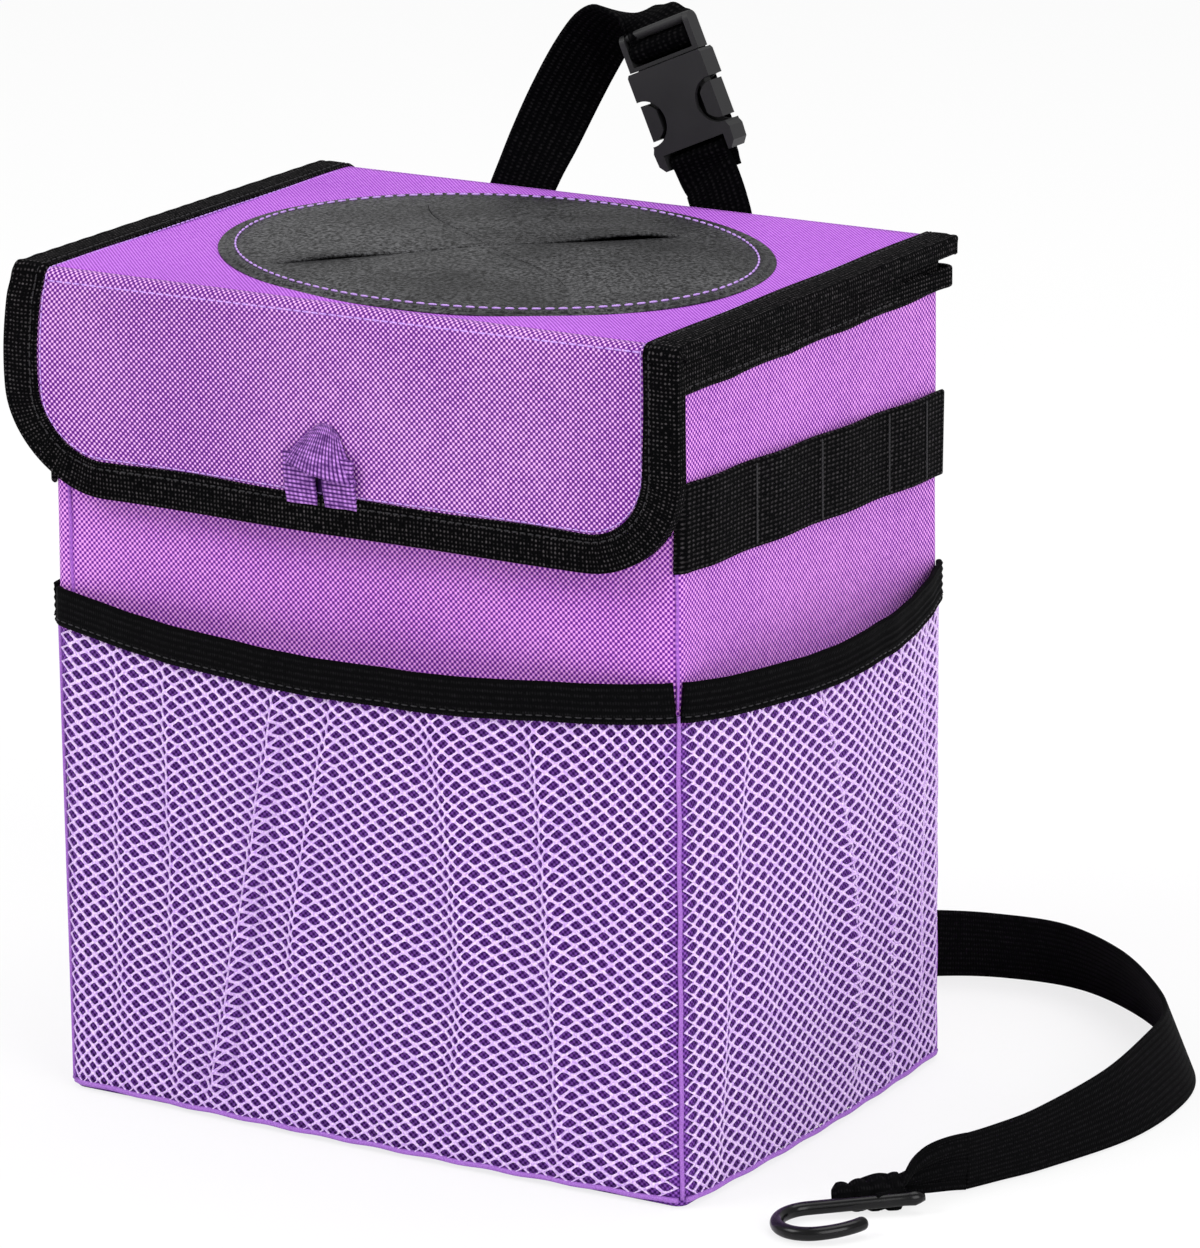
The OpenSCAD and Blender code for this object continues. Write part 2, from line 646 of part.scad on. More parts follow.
module strap_hook() {
    sides = 16;
    rings = wire_rings();
    last = len(rings) - 1;
    points = [for (q = rings, j = [0:sides - 1]) let (a = 360 * j / sides)
        [q[0][0] - q[2] * cos(a) * sin(q[1]), q[0][1] + q[2] * cos(a) * cos(q[1]), q[2] * sin(a)]];
    faces = concat(
        [for (i = [0:last - 1], j = [0:sides - 1]) let (n = (j + 1) % sides) each [
            [i * sides + j, (i + 1) * sides + j, i * sides + n],
            [i * sides + n, (i + 1) * sides + j, (i + 1) * sides + n]]],
        [[for (j = [0:sides - 1]) j], [for (j = [sides - 1:-1:0]) last * sides + j]]
    );
    color(near_black) at_hook() polyhedron(points, faces, convexity = 6);
}

// End of the elastic strap: it turns flat, gathers and goes round the hook's shank
module lower_strap_end() {
    sleeve_r = wire_d / 2 + 1.8;
    shank = [cos(hook_turn), sin(hook_turn), 0];
    over = hook_pos + 12 * shank + [0, 0, wire_d / 2 + 1.6];
    last = cord_route[len(cord_route) - 1];
    from = last + unit([over[0] - last[0], over[1] - last[1], 0]) * seat;
    path = [for (i = [0:10]) let (t = i / 10)
        [mix(from[0], over[0], t), mix(from[1], over[1], t), mix(from[2], over[2], smooth(t))]];
    across = [for (i = [0:10]) let (t = smooth(i / 10)) unit(mix([0, 0, 1], -shank, t))];
    color(near_black) difference() {
        union() {
            strap(path, across, cord_w - 5, 3);
            at_hook() for (x = [3.2, 8.2, 13.2, 18.2])
                translate([x, 0, 0]) rotate([0, 90, 0]) cylinder(r = sleeve_r - 0.2 * (x % 2), h = 4.9);
        }
        at_hook() rotate([0, 90, 0]) translate([0, 0, -5]) cylinder(r = wire_d / 2 + seat, h = 60);
        translate([100, -100, -10]) cube([100, 100, 10.1]);
    }
}

// Smooth oval with its half axes
function oval(a, b) = [for (i = [0:71]) [a * cos(5 * i), b * sin(5 * i)]];
module lid_hole(z0, z1) {
    translate([oval_x, oval_y, z0]) rotate(leather_turn) linear_extrude(z1 - z0)
        polygon(oval(leather_w / 2 - leather_seam, leather_d / 2 - leather_seam));
}

// Top cloth of the lid, with the thick sewn fold that carries the flap
module lid_panel() {
    color(violet) {
        difference() {
            box([-lid_w / 2, fold_y, total_h - cloth_t], [lid_w, hinge_y - fold_y, cloth_t]);
            lid_hole(total_h - cloth_t - 1, total_h + 1);
        }
        translate([-lid_w / 2, fold_y, fold_z]) rotate([0, 90, 0]) cylinder(r = flap_t, h = lid_w);
        back_roll();
    }
}
// Back edge of the top cloth: it turns down round the axis that the lid opens about
roll_angle = 58;
module back_roll() {
    out = total_h - hinge_z;
    cut = 90 - roll_angle;
    translate([-lid_w / 2, hinge_y, hinge_z]) rotate([90, 0, 90]) intersection() {
        difference() {
            cylinder(r = out, h = lid_w);
            translate([0, 0, -1]) cylinder(r = out - cloth_t, h = lid_w + 2);
        }
        linear_extrude(lid_w)
            polygon([[0, 0], 3 * out * [cos(cut), sin(cut)], [3 * out, 3 * out], [0, 3 * out]]);
    }
}
lid_layers_front = fold_y + flap_t + 0.4;
module lid_layer(z0, t, c) {
    color(c) difference() {
        box([-lid_w / 2, lid_layers_front, z0], [lid_w, hinge_y - lid_layers_front, t]);
        lid_hole(z0 - 1, z0 + t + 1);
    }
}
module lid_board() {
    lid_layer(lid_z + lining_t, lid_board_t, board_grey);
}
module lid_liner() {
    lid_layer(lid_z, lining_t, lining_grey);
}

// Tape folded over the lid's two side edges, and over the ends of the fold
module lid_edge_tape() {
    out = lid_w / 2 + tape_out;
    inner = lid_w / 2 - edge_tape_w;
    under = body_w / 2 + tape_out + seat;
    run = hinge_y - fold_y;
    box([inner, fold_y, total_h], [out - inner, run, tape_t]);
    box([lid_w / 2 + fit, lid_layers_front, lid_z - tape_t], [tape_t, run + fold_y - lid_layers_front, lid_t + tape_t]);
    box([under, lid_layers_front, lid_z - tape_t], [out - under, run + fold_y - lid_layers_front, tape_t]);
    translate([0, fold_y, fold_z]) rotate([0, 90, 0]) intersection() {
        union() {
            translate([0, 0, inner]) difference() {
                cylinder(r = flap_t + tape_t, h = out - inner);
                translate([0, 0, -1]) cylinder(r = flap_t, h = lid_w / 2 + fit - inner + 1);
            }
        }
        translate([-20, -20, 0]) cube([20, 20, lid_w]);
    }
}
module lid_binding() {
    color(near_black) for (side = [0, 1]) mirror([side, 0, 0]) lid_edge_tape();
}

// One slit of the leather, from a to b: thin in the middle and wider at its ends
module slit(a, b) {
    d = unit(b - a);
    n = [-d[1], d[0]];
    function half(t) = slit_w / 2 + (slit_end_w - slit_w) / 2 * pow(abs(2 * t - 1), 3);
    edge = [for (i = [0:12]) let (t = i / 12) mix(a, b, t) + n * half(t)];
    back = [for (i = [12:-1:0]) let (t = i / 12) mix(a, b, t) - n * half(t)];
    polygon(concat(edge, back));
}
module leather_insert() {
    reach_x = leather_w * 0.33;
    reach_y = leather_d * 0.34;
    color(dark_leather) translate([oval_x, oval_y, total_h]) linear_extrude(leather_t) difference() {
        rotate(leather_turn) polygon(oval(leather_w / 2, leather_d / 2));
        slit([-reach_x * 0.79, -reach_y * 0.96], [reach_x * 0.73, reach_y * 0.83]);
        slit([-reach_x * 0.91, reach_y * 0.89], [reach_x * 0.84, -reach_y * 0.8]);
    }
}

// Outline of the flap seen from the front, grown by g
module flap_outline(g) {
    w = lid_w / 2 + g;
    low = flap_bottom - g;
    r = flap_r + g;
    translate([-w, low + r]) square([2 * w, fold_z - low - r]);
    translate([r - w, low]) square([2 * (w - r), fold_z - low]);
    for (x = [-1, 1]) translate([x * (w - r), low + r]) circle(r);
}
// Layer of the flap between two distances behind its front face, cut back round the fold
module flap_layer(near, far, g, cut_r) {
    difference() {
        translate([0, fold_y - flap_t + far, 0]) rotate([90, 0, 0])
            linear_extrude(far - near) flap_outline(g);
        translate([-lid_w, fold_y, fold_z]) rotate([0, 90, 0]) cylinder(r = cut_r, h = 2 * lid_w);
        for (side = [0, 1]) mirror([side, 0, 0])
            translate([lid_w / 2 - edge_tape_w - seat, fold_y, fold_z]) rotate([0, 90, 0])
                cylinder(r = flap_t + tape_t + fold_gap, h = lid_w);
    }
}
module flap_panel() {
    color(violet) flap_layer(0, flap_t - lining_t, 0, flap_t + fold_gap);
}
module flap_liner() {
    color(lining_grey) flap_layer(flap_t - lining_t, flap_t, 0, flap_t + fold_gap);
}
module flap_binding() {
    color(near_black) difference() {
        flap_layer(-tape_out, flap_t + tape_out, tape_out, flap_t + tape_t + fold_gap);
        flap_layer(-fit, flap_t + fit, fit, 0.01);
        flap_layer(-10, 10 + flap_t, -edge_tape_w, 0.01);
    }
}

// Ribbon tab: two ends side by side that come up from the binding, and the turn of the
// ribbon standing out over them like a hood
tab_x = -5;
tab_foot = flap_bottom + edge_tape_w + 0.4;
tab_h = 20.5;
tab_out = 6.5;
tab_t = 1.2;
module pull_tab() {
    face_y = fold_y - flap_t;
    function hood(a, v, k) = let (
            r = tab_w / 2 + k * tab_t,
            low = tab_h * (0.33 + 0.12 * cos(a)),
            z = mix(tab_h * (0.48 + 0.52 * sin(a)) + k * tab_t * sin(a), low, v))
        [tab_x - r * cos(a), face_y - 0.3 - k * tab_t - tab_out * sin(a) * sin(90 * v), tab_foot + z];
    front = [for (i = [16:-1:0]) [for (j = [0:4]) hood(180 * i / 16, j / 4, 1)]];
    back = [for (i = [16:-1:0]) [for (j = [0:4]) hood(180 * i / 16, j / 4, 0)]];
    color(violet) union() {
        slab(front, back);
        for (side = [-1, 1]) translate([tab_x + side * 5.9 - 4.7, face_y - 0.3 - tab_t, tab_foot])
            cube([9.4, tab_t, tab_h * 0.75]);
    }
}

// The lid with its flap turns about the sewn edge at the back
module on_lid() {
    translate([0, hinge_y, hinge_z]) rotate([-lid_open, 0, 0]) translate([0, -hinge_y, -hinge_z]) children();
}

outer_shell();
front_board();
back_board();
left_board();
right_board();
base_board();
inner_liner();
rim_binding();
front_loop_patch();
side_webbing_left();
side_webbing_right();
front_pocket_net();
left_pocket_net();
right_pocket_net();
front_pocket_elastic();
left_pocket_elastic();
right_pocket_elastic();
upper_strap_left();
upper_strap_right();
buckle_male();
buckle_female();
latch_left();
latch_right();
lower_strap();
lower_strap_end();
strap_hook();
on_lid() lid_panel();
on_lid() lid_board();
on_lid() lid_liner();
on_lid() lid_binding();
on_lid() leather_insert();
on_lid() flap_panel();
on_lid() flap_liner();
on_lid() flap_binding();
on_lid() pull_tab();
on_lid() flap_hook_patch();
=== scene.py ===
# %% [markdown]
# A soft car trash bin in Blender. The bin is a boarded cloth box with a sewn lid. A leather oval
# with two crossed slits takes the rubbish, a flap closes the front, net pockets sit on three walls,
# a buckled strap hangs it on a headrest and an elastic strap with a hook holds its foot.
# The plain solids of the bin are loaded first. Each cloth piece is then made again as a surface
# worked out with numpy, in the same place, with a finish built from shader nodes.

# %% Load the bin's solids
import math

import bpy
import numpy as np
from mathutils import Matrix


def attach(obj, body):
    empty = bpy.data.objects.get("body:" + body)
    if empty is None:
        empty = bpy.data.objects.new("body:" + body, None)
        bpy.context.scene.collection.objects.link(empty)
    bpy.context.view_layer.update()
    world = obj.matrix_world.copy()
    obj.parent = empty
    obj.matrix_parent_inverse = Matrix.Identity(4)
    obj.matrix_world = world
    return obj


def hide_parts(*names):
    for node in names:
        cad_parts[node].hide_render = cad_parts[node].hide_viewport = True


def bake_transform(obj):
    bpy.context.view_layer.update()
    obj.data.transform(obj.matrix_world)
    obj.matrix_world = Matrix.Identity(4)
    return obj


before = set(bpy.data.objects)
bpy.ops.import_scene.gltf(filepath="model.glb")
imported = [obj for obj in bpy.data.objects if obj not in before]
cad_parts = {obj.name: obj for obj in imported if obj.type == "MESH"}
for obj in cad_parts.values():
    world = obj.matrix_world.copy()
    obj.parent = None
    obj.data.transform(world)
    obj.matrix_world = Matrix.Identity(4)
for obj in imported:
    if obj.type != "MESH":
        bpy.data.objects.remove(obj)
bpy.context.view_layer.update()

# %% [markdown]
# The camera is the first thing to settle, because every crop is compared through it. It stands
# 31 degrees to the right of the front and 16 degrees up, almost two metres away with a long lens,
# as for a catalogue picture. Its place follows from these angles and the point that it looks at.

# %% Camera
MM = 0.001
LOOK_AT = np.array([34.06, 0.0, 142.59]) * MM
AZIMUTH, ELEVATION, ROLL = (math.radians(v) for v in (31.38, 15.79, -0.64))
DISTANCE = 1990.06 * MM
PICTURE_W, PICTURE_H = 1200, 1248
FOCAL_PIXELS = 6883.87


def camera_axes(azimuth, elevation, roll):
    """Right, up and back axes of a camera. Back points from the target to the camera. Right is
    level before the roll, and the roll turns right and up about back."""
    back = np.array([math.sin(azimuth) * math.cos(elevation),
                     -math.cos(azimuth) * math.cos(elevation), math.sin(elevation)])
    right = np.array([math.cos(azimuth), math.sin(azimuth), 0.0])
    up = np.cross(back, right)
    c, s = math.cos(roll), math.sin(roll)
    return c * right + s * up, c * up - s * right, back


def standing(right, up, back, place):
    """Matrix of a camera or a lamp. Its columns are the three axes and the place."""
    return Matrix(np.vstack([np.stack([right, up, back, place], 1), [0, 0, 0, 1]]).tolist())


def make_camera():
    """Camera object at LOOK_AT plus DISTANCE along its back axis, with the lens that gives the
    focal length in pixels on the picture's long side."""
    right, up, back = camera_axes(AZIMUTH, ELEVATION, ROLL)
    data = bpy.data.cameras.new("bin_camera")
    data.sensor_width = 36
    data.lens = FOCAL_PIXELS / max(PICTURE_W, PICTURE_H) * data.sensor_width
    data.clip_start, data.clip_end = 0.05, 20
    camera = bpy.data.objects.new("bin_camera", data)
    bpy.context.scene.collection.objects.link(camera)
    camera.matrix_world = standing(right, up, back, LOOK_AT + DISTANCE * back)
    bpy.context.scene.camera = camera
    print("lens", round(data.lens, 2), "mm")


make_camera()

# %% [markdown]
# The measures below are the bin's own, in millimetres, and are the same as those of its solids.
# Lengths are kept in millimetres up to the last step, where a mesh is made in metres.

# %% Measures of the bin
HALF_W, HALF_D, CORNER_R = 105.0, 75.0, 4.0
TOP, SHELL_TOP, RIM_TOP = 250.0, 245.1, 246.0
CLOTH_T, LINING_T, TAPE_T = 1.2, 0.8, 0.8
WALL_T = 3.6
LID_HALF_W, LID_BACK, LID_UNDER = 109.6, 75.0, 246.4
HINGE_Z, ROLL_R, ROLL_END = 246.2, 3.8, 58
LID_FRONT, FOLD_Y, FOLD_Z, FLAP_T = -79.0, -80.2, 247.2, 2.8
FLAP_FACE, FLAP_FOOT, FLAP_R = FOLD_Y - FLAP_T, 185.0, 29.0
FLAP_ROUND_FROM, FLAP_FLAT_HALF = FLAP_FOOT + FLAP_R, LID_HALF_W - FLAP_R
TAPE_W = 10.5
POCKET_TOP, ELASTIC_H, ELASTIC_T = 154.0, 11.6, 1.8
NET_FOOT, NET_TOP = 2.0, POCKET_TOP - ELASTIC_H - 0.2
OVAL_X, OVAL_Y, OVAL_A, OVAL_B, OVAL_TURN = 3.4, -5.0, 86.0, 70.5, -14.0
UP = np.array([0, 0, 1.0])
SIDES = ((-1, "left"), (1, "right"))

# %% [markdown]
# Meshes are made from whole arrays: a grid of points and the four-sided faces between them. The
# pieces need two kinds of grid, namely an open sheet and a tube closed along one way. One function
# numbers the faces for both, and another one turns the arrays into a mesh with a flat map measured
# in metres, so that a weave keeps its true size on every piece.

# %% Meshes from grids
def grid_faces(rows, cols, loop_cols=False):
    """Corner numbers of the faces between neighbours of a rows by cols grid. Looped columns join
    the last one to the first."""
    i, j = np.meshgrid(np.arange(rows - 1), np.arange(cols - (not loop_cols)), indexing="ij")
    right = (j + 1) % cols
    return np.stack([i * cols + j, i * cols + right, (i + 1) * cols + right, (i + 1) * cols + j],
                    -1).reshape(-1, 4)


def xyz(x, y, z):
    """Points from their three values, each of which may be an array or one number."""
    return np.stack(np.broadcast_arrays(x, y, z), -1)


def map_of(u, v):
    """Flat map in metres, from the two ways of a grid in millimetres."""
    return np.stack(np.broadcast_arrays(u, v), -1).reshape(-1, 2) * MM


def make_mesh(name, points, faces, uv=None, smooth=True):
    """Object with its points in millimetres, its faces and one map value in metres per point."""
    mesh = bpy.data.meshes.new(name)
    points = np.asarray(points, float).reshape(-1, 3)
    faces = [list(map(int, f)) for f in faces]
    mesh.from_pydata((points * MM).tolist(), [], faces)
    if uv is not None:
        corners = np.array([v for f in faces for v in f])
        layer = mesh.uv_layers.new(name="cloth_map")
        layer.data.foreach_set("uv", np.asarray(uv, np.float32)[corners].ravel())
    mesh.polygons.foreach_set("use_smooth", [smooth] * len(mesh.polygons))
    mesh.update()
    piece = bpy.data.objects.new(name, mesh)
    bpy.context.scene.collection.objects.link(piece)
    return piece


def thicken(piece, thickness, offset=-1.0):
    """Gives a sheet its thickness in millimetres, on the inner side unless offset says else."""
    solid = piece.modifiers.new("thickness", "SOLIDIFY")
    solid.thickness, solid.offset = thickness * MM, offset
    solid.use_even_offset = False
    return piece


def settle(piece, finish, body, slot, *replaced):
    """Gives a piece its finish, the body that it moves with and the solids that it stands for."""
    piece.data.materials.append(finish)
    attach(piece, body)
    if replaced:
        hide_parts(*replaced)
    print(piece.name, len(piece.data.polygons), "faces")


def smooth_step(t):
    """0 below 0, 1 above 1 and an even S between."""
    t = np.clip(t, 0, 1)
    return t * t * (3 - 2 * t)


def through(points, steps):
    """Smooth curve through the rows of points, with the given steps between two rows. Between b
    and c it is the cubic whose slopes there are half of c - a and half of d - b."""
    p = np.asarray(points, float)
    a, b = np.vstack([p[:1], p[:-2]]), p[:-1]
    c, d = p[1:], np.vstack([p[2:], p[-1:]])
    t = (np.arange(steps) / steps)[None, :, None]
    a, b, c, d = (v[:, None, :] for v in (a, b, c, d))
    bend, twist = 2 * a - 5 * b + 4 * c - d, 3 * b - a - 3 * c + d
    cubic = b + t * 0.5 * ((c - a) + t * (bend + t * twist))
    return np.vstack([cubic.reshape(-1, p.shape[1]), p[-1:]])


def unit(v):
    """Vectors of length one along the last axis."""
    return v / np.linalg.norm(v, axis=-1, keepdims=True)


def headings(path):
    """Direction of a polyline at each point, from its two neighbours."""
    ends = np.vstack([path[:1], path, path[-1:]])
    return unit(ends[2:] - ends[:-2])


def run_of(points):
    """Distance along a polyline at each point."""
    return np.concatenate([[0], np.cumsum(np.linalg.norm(np.diff(points, axis=0), axis=1))])

# %% [markdown]
# Each finish is a small tree of shader nodes. A weave is the product of two sines on the flat map:
# it is high where one thread lies on top and low where the other does, which gives both the colour
# of the two threads and the bump. Numbers that are the same all over are set on the shader itself.

# %% Helper for finishes
def colour(red, green, blue):
    """Linear colour of a screen colour given from 0 to 255."""
    c = np.array([red, green, blue]) / 255
    linear = np.where(c <= 0.04045, c / 12.92, ((c + 0.055) / 1.055) ** 2.4)
    return (*linear.tolist(), 1.0)


class Finish:
    """One material with short ways to add nodes. A value may be a socket or a number."""

    def __init__(self, name, **shader):
        self.material = bpy.data.materials.new(name)
        self.material.use_nodes = True
        self.tree = self.material.node_tree
        self.shader = self.tree.nodes["Principled BSDF"]
        for key, value in shader.items():
            self.shader.inputs[key.replace("_", " ")].default_value = value

    def node(self, kind, *values, **settings):
        made = self.tree.nodes.new(kind)
        for key, value in settings.items():
            setattr(made, key, value)
        for socket, value in zip(made.inputs, values):
            self.put(value, socket)
        return made

    def put(self, value, socket):
        if isinstance(value, bpy.types.NodeSocket):
            self.tree.links.new(value, socket)
        else:
            socket.default_value = value

    def maths(self, operation, *values):
        return self.node("ShaderNodeMath", *values, operation=operation).outputs[0]

    def flat(self):
        """The two ways of the flat map, in metres."""
        node = self.node("ShaderNodeUVMap", uv_map="cloth_map")
        split = self.node("ShaderNodeSeparateXYZ", node.outputs[0])
        return split.outputs[0], split.outputs[1]

    def place(self):
        """The place on the bin, in metres."""
        coordinates = self.node("ShaderNodeTexCoord").outputs["Object"]
        return self.node("ShaderNodeMapping", coordinates).outputs[0]

    def wave(self, value, period):
        """Sine of a distance in metres with a period in millimetres."""
        turned = self.maths("MULTIPLY", value, 2 * math.pi / (period * MM))
        return self.maths("SINE", turned)

    def noise(self, scale, detail=2.0, roughness=0.5):
        made = self.node("ShaderNodeTexNoise")
        self.put(self.place(), made.inputs["Vector"])
        made.inputs["Scale"].default_value = scale
        made.inputs["Detail"].default_value = detail
        made.inputs["Roughness"].default_value = roughness
        return made.outputs["Fac"]

    def spread(self, value, low, high, to_low=0.0, to_high=1.0):
        """Maps a value from low..high to to_low..to_high and stops at both."""
        made = self.node("ShaderNodeMapRange", value, low, high, to_low, to_high)
        return made.outputs[0]

    def blend(self, factor, first, second):
        made = self.node("ShaderNodeMix", data_type="RGBA")
        self.put(factor, made.inputs[0])
        self.put(first, made.inputs[6])
        self.put(second, made.inputs[7])
        return made.outputs[2]

    def bump(self, height, depth, strength=1.0):
        """Bump of a height from 0 to 1, with its depth in millimetres."""
        made = self.node("ShaderNodeBump")
        made.inputs["Strength"].default_value = strength
        made.inputs["Distance"].default_value = depth * MM
        self.put(height, made.inputs["Height"])
        self.tree.links.new(made.outputs[0], self.shader.inputs["Normal"])

    def paint(self, value):
        self.put(value, self.shader.inputs["Base Color"])

    def rough(self, value):
        self.put(value, self.shader.inputs["Roughness"])


def weave(finish, pitch_u, pitch_v):
    """Plain weave: 0.5 plus half of sine times sine, so that two threads change places."""
    u, v = finish.flat()
    both = finish.maths("MULTIPLY", finish.wave(u, 2 * pitch_u), finish.wave(v, 2 * pitch_v))
    return finish.maths("MULTIPLY_ADD", both, 0.5, 0.5)

# %% Finishes of cloth, tape and webbing
# Bounds, in metres, of the painted shade behind the nets: it stops above the net mouths and at the
# back wall.
NET_SHADE_END = (0.1405, 0.1425)
BACK_WALL_FROM = (0.0740, 0.0744)


def violet_cloth(name, pitch, deep, pale, keen=(0.42, 0.9), pockets=False):
    """Oxford cloth: deep violet threads one way and paler pink ones the other way. With pockets,
    a painted shade makes the cloth darker behind them, for the shadow where the net keeps the light
    off."""
    f = Finish(name, Roughness=0.65, Sheen_Weight=0.04, Sheen_Roughness=0.4,
               Specular_IOR_Level=0.16)
    threads = weave(f, pitch, pitch)
    slow, drift = f.noise(16.0, 3.0), f.noise(520.0, 2.0)
    lift = f.maths("MULTIPLY_ADD", drift, 0.24, f.maths("MULTIPLY_ADD", slow, 0.2, -0.22))
    shade = f.blend(f.spread(f.maths("ADD", threads, lift), *keen), deep, pale)
    if pockets:
        # Painted shade: a dimmer violet below the net mouths, on every wall but the back one,
        # stands for the nets' shadow.
        _, y, z = f.node("ShaderNodeSeparateXYZ", f.place()).outputs
        low = f.spread(z, *NET_SHADE_END, 1.0, 0.0)
        front = f.spread(y, *BACK_WALL_FROM, 1.0, 0.0)
        painted_net_shade = f.blend(f.spread(threads, 0.3, 0.8), colour(66, 16, 104), colour(142, 84, 186))
        shade = f.blend(f.maths("MULTIPLY", low, front), shade, painted_net_shade)
    f.paint(shade)
    f.bump(threads, 0.22, 0.9)
    return f.material


def ribbed(name, along, across, dark, pale, shine=0.03, highlight_break_scale=900.0, depth=0.3,
           keen=(0.25, 0.85)):
    """Narrow woven ware: ribs at one step along the piece, crossed by picks at another. The pale
    tops of the ribs are painted highlights, broken by fine noise, as light breaks on single yarns."""
    f = Finish(name, Roughness=0.75, Specular_IOR_Level=shine)
    u, v = f.flat()
    ribs = f.maths("MULTIPLY_ADD", f.wave(u, along), 0.5, 0.5)
    picks = f.maths("MULTIPLY_ADD", f.wave(v, across), 0.5, 0.5)
    crossed = f.maths("MULTIPLY_ADD", picks, 0.6, 0.4)
    height = f.maths("MULTIPLY", f.maths("POWER", ribs, 0.7), crossed)
    painted_rib_highlights = f.maths("MULTIPLY", f.maths("MULTIPLY_ADD", f.noise(highlight_break_scale, 2.0), 1.6, -0.2), height)
    # Painted highlight: the rib tops take the pale colour, broken by fine noise.
    f.paint(f.blend(f.spread(painted_rib_highlights, *keen), dark, pale))
    f.bump(height, depth, 0.9)
    return f.material


def net_thread():
    """Knitted net thread: pale lilac with a fine twist and a soft shine."""
    f = Finish("lilac_net_thread", Roughness=0.5, Sheen_Weight=0.15, Sheen_Roughness=0.35)
    twist = f.noise(1500.0, 2.0)
    slow = f.noise(26.0, 2.0)
    pale = f.blend(slow, colour(236, 204, 254), colour(253, 234, 255))
    f.paint(f.blend(f.spread(twist, 0.3, 0.7), colour(192, 144, 230), pale))
    f.bump(twist, 0.15, 0.7)
    return f.material


DEEP, PALE = colour(92, 8, 130), colour(252, 190, 255)
VIOLET = violet_cloth("violet_oxford_cloth", 0.84, DEEP, PALE)
LID_CLOTH = violet_cloth("violet_lid_cloth", 0.66, colour(128, 36, 170), colour(218, 134, 248),
                         (0.3, 0.8))
WALL_CLOTH = violet_cloth("violet_wall_cloth", 0.84, colour(100, 8, 144), colour(250, 170, 255),
                          (0.34, 0.8), pockets=True)
NET = net_thread()
INK = colour(2, 2, 3)
# The pale colour of each woven ware below is its painted highlight on the rib tops.
TAPE = ribbed("black_binding_tape", 1.25, 1.3, INK, colour(84, 80, 82), keen=(0.34, 0.95))
WEBBING = ribbed("black_webbing", 2.1, 1.1, INK, colour(26, 25, 26), 0.02)
SIDE_WEBBING = ribbed("side_webbing_weave", 1.35, 2.2, INK, colour(64, 61, 63))
ELASTIC = ribbed("black_elastic", 1.9, 0.8, colour(5, 5, 6), colour(26, 25, 27), depth=0.2)
RIBBON = ribbed("violet_ribbon", 1.25, 1.5, colour(64, 20, 96), colour(214, 150, 246), 0.1, 500.0,
                0.35, (0.05, 0.7))

# %% Finishes of leather, plastic, wire, thread and lining
def grained_leather():
    """Coated leather: small rounded grains from cells. Painted shade makes the hollows between the
    grains nearly black, and broad soft waves of painted light make the grain tops paler in patches,
    as where it catches the light."""
    f = Finish("grained_leather", Roughness=0.5, Specular_IOR_Level=0.3)
    cells = f.node("ShaderNodeTexVoronoi", f.place(), feature="SMOOTH_F1")
    cells.inputs["Scale"].default_value = 900.0
    fine = f.noise(1000.0, 2.0, 0.6)
    height = f.maths("MULTIPLY_ADD", fine, 1.1, f.maths("MULTIPLY", cells.outputs["Distance"], 0.4))
    # Painted light: broad patches where the grain tops are paler, and painted shade that makes the
    # hollows nearly black.
    painted_light_patches = f.spread(f.noise(24.0, 1.0), 0.36, 0.64)
    tops = f.blend(painted_light_patches, colour(58, 58, 60), colour(94, 94, 96))
    f.paint(f.blend(f.spread(height, 0.5, 0.85), tops, colour(2, 2, 3)))
    f.rough(f.spread(height, 0.2, 1.0, 0.34, 0.6))
    f.bump(f.maths("SUBTRACT", 1.0, height), 0.5, 1.0)
    return f.material


def satin_plastic():
    """Moulded plastic: even dark grey with a very fine spark-eroded texture."""
    f = Finish("buckle_plastic", Roughness=0.46, Specular_IOR_Level=0.3)
    wear = f.noise(60.0, 3.0)
    f.paint(f.blend(wear, colour(28, 28, 29), colour(42, 42, 43)))
    f.rough(f.spread(wear, 0.3, 0.7, 0.4, 0.52))
    f.bump(f.noise(1800.0, 2.0), 0.03, 0.5)
    return f.material


def dipped_wire():
    """Wire dipped in soft black: glossy, with slow waves in the coat."""
    f = Finish("dipped_wire", Roughness=0.24, Specular_IOR_Level=0.2, Coat_Weight=0.08,
               Coat_Roughness=0.12)
    waves = f.noise(160.0, 2.0)
    f.paint(f.blend(waves, colour(4, 4, 5), colour(10, 10, 11)))
    f.rough(f.spread(waves, 0.3, 0.7, 0.16, 0.28))
    f.bump(waves, 0.08, 0.5)
    return f.material


def plain_thread(name, dark, pale):
    """Sewing thread: two plies that wind round each other."""
    f = Finish(name, Roughness=0.55, Specular_IOR_Level=0.25)
    twist = f.noise(2600.0, 1.0)
    f.paint(f.blend(twist, dark, pale))
    f.bump(twist, 0.08, 0.6)
    return f.material


def coated_lining():
    """Lining: grey cloth with a wiped-on coat, so its weave shows only faintly."""
    f = Finish("coated_lining", Roughness=0.4, Specular_IOR_Level=0.3)
    threads = weave(f, 0.5, 0.5)
    slow = f.noise(18.0, 3.0)
    f.paint(f.blend(slow, colour(84, 84, 90), colour(104, 104, 110)))
    f.bump(f.maths("MULTIPLY_ADD", slow, 1.5, f.maths("MULTIPLY", threads, 0.3)), 0.3, 0.6)
    return f.material


def closure_pile():
    """Hook and loop pile: a dense black fuzz."""
    f = Finish("closure_pile", Roughness=0.95, Sheen_Weight=0.2, Specular_IOR_Level=0.1)
    fuzz = f.noise(1100.0, 4.0, 0.7)
    f.paint(f.blend(f.spread(fuzz, 0.3, 0.7), colour(6, 6, 7), colour(50, 48, 52)))
    f.bump(fuzz, 0.6, 1.0)
    return f.material


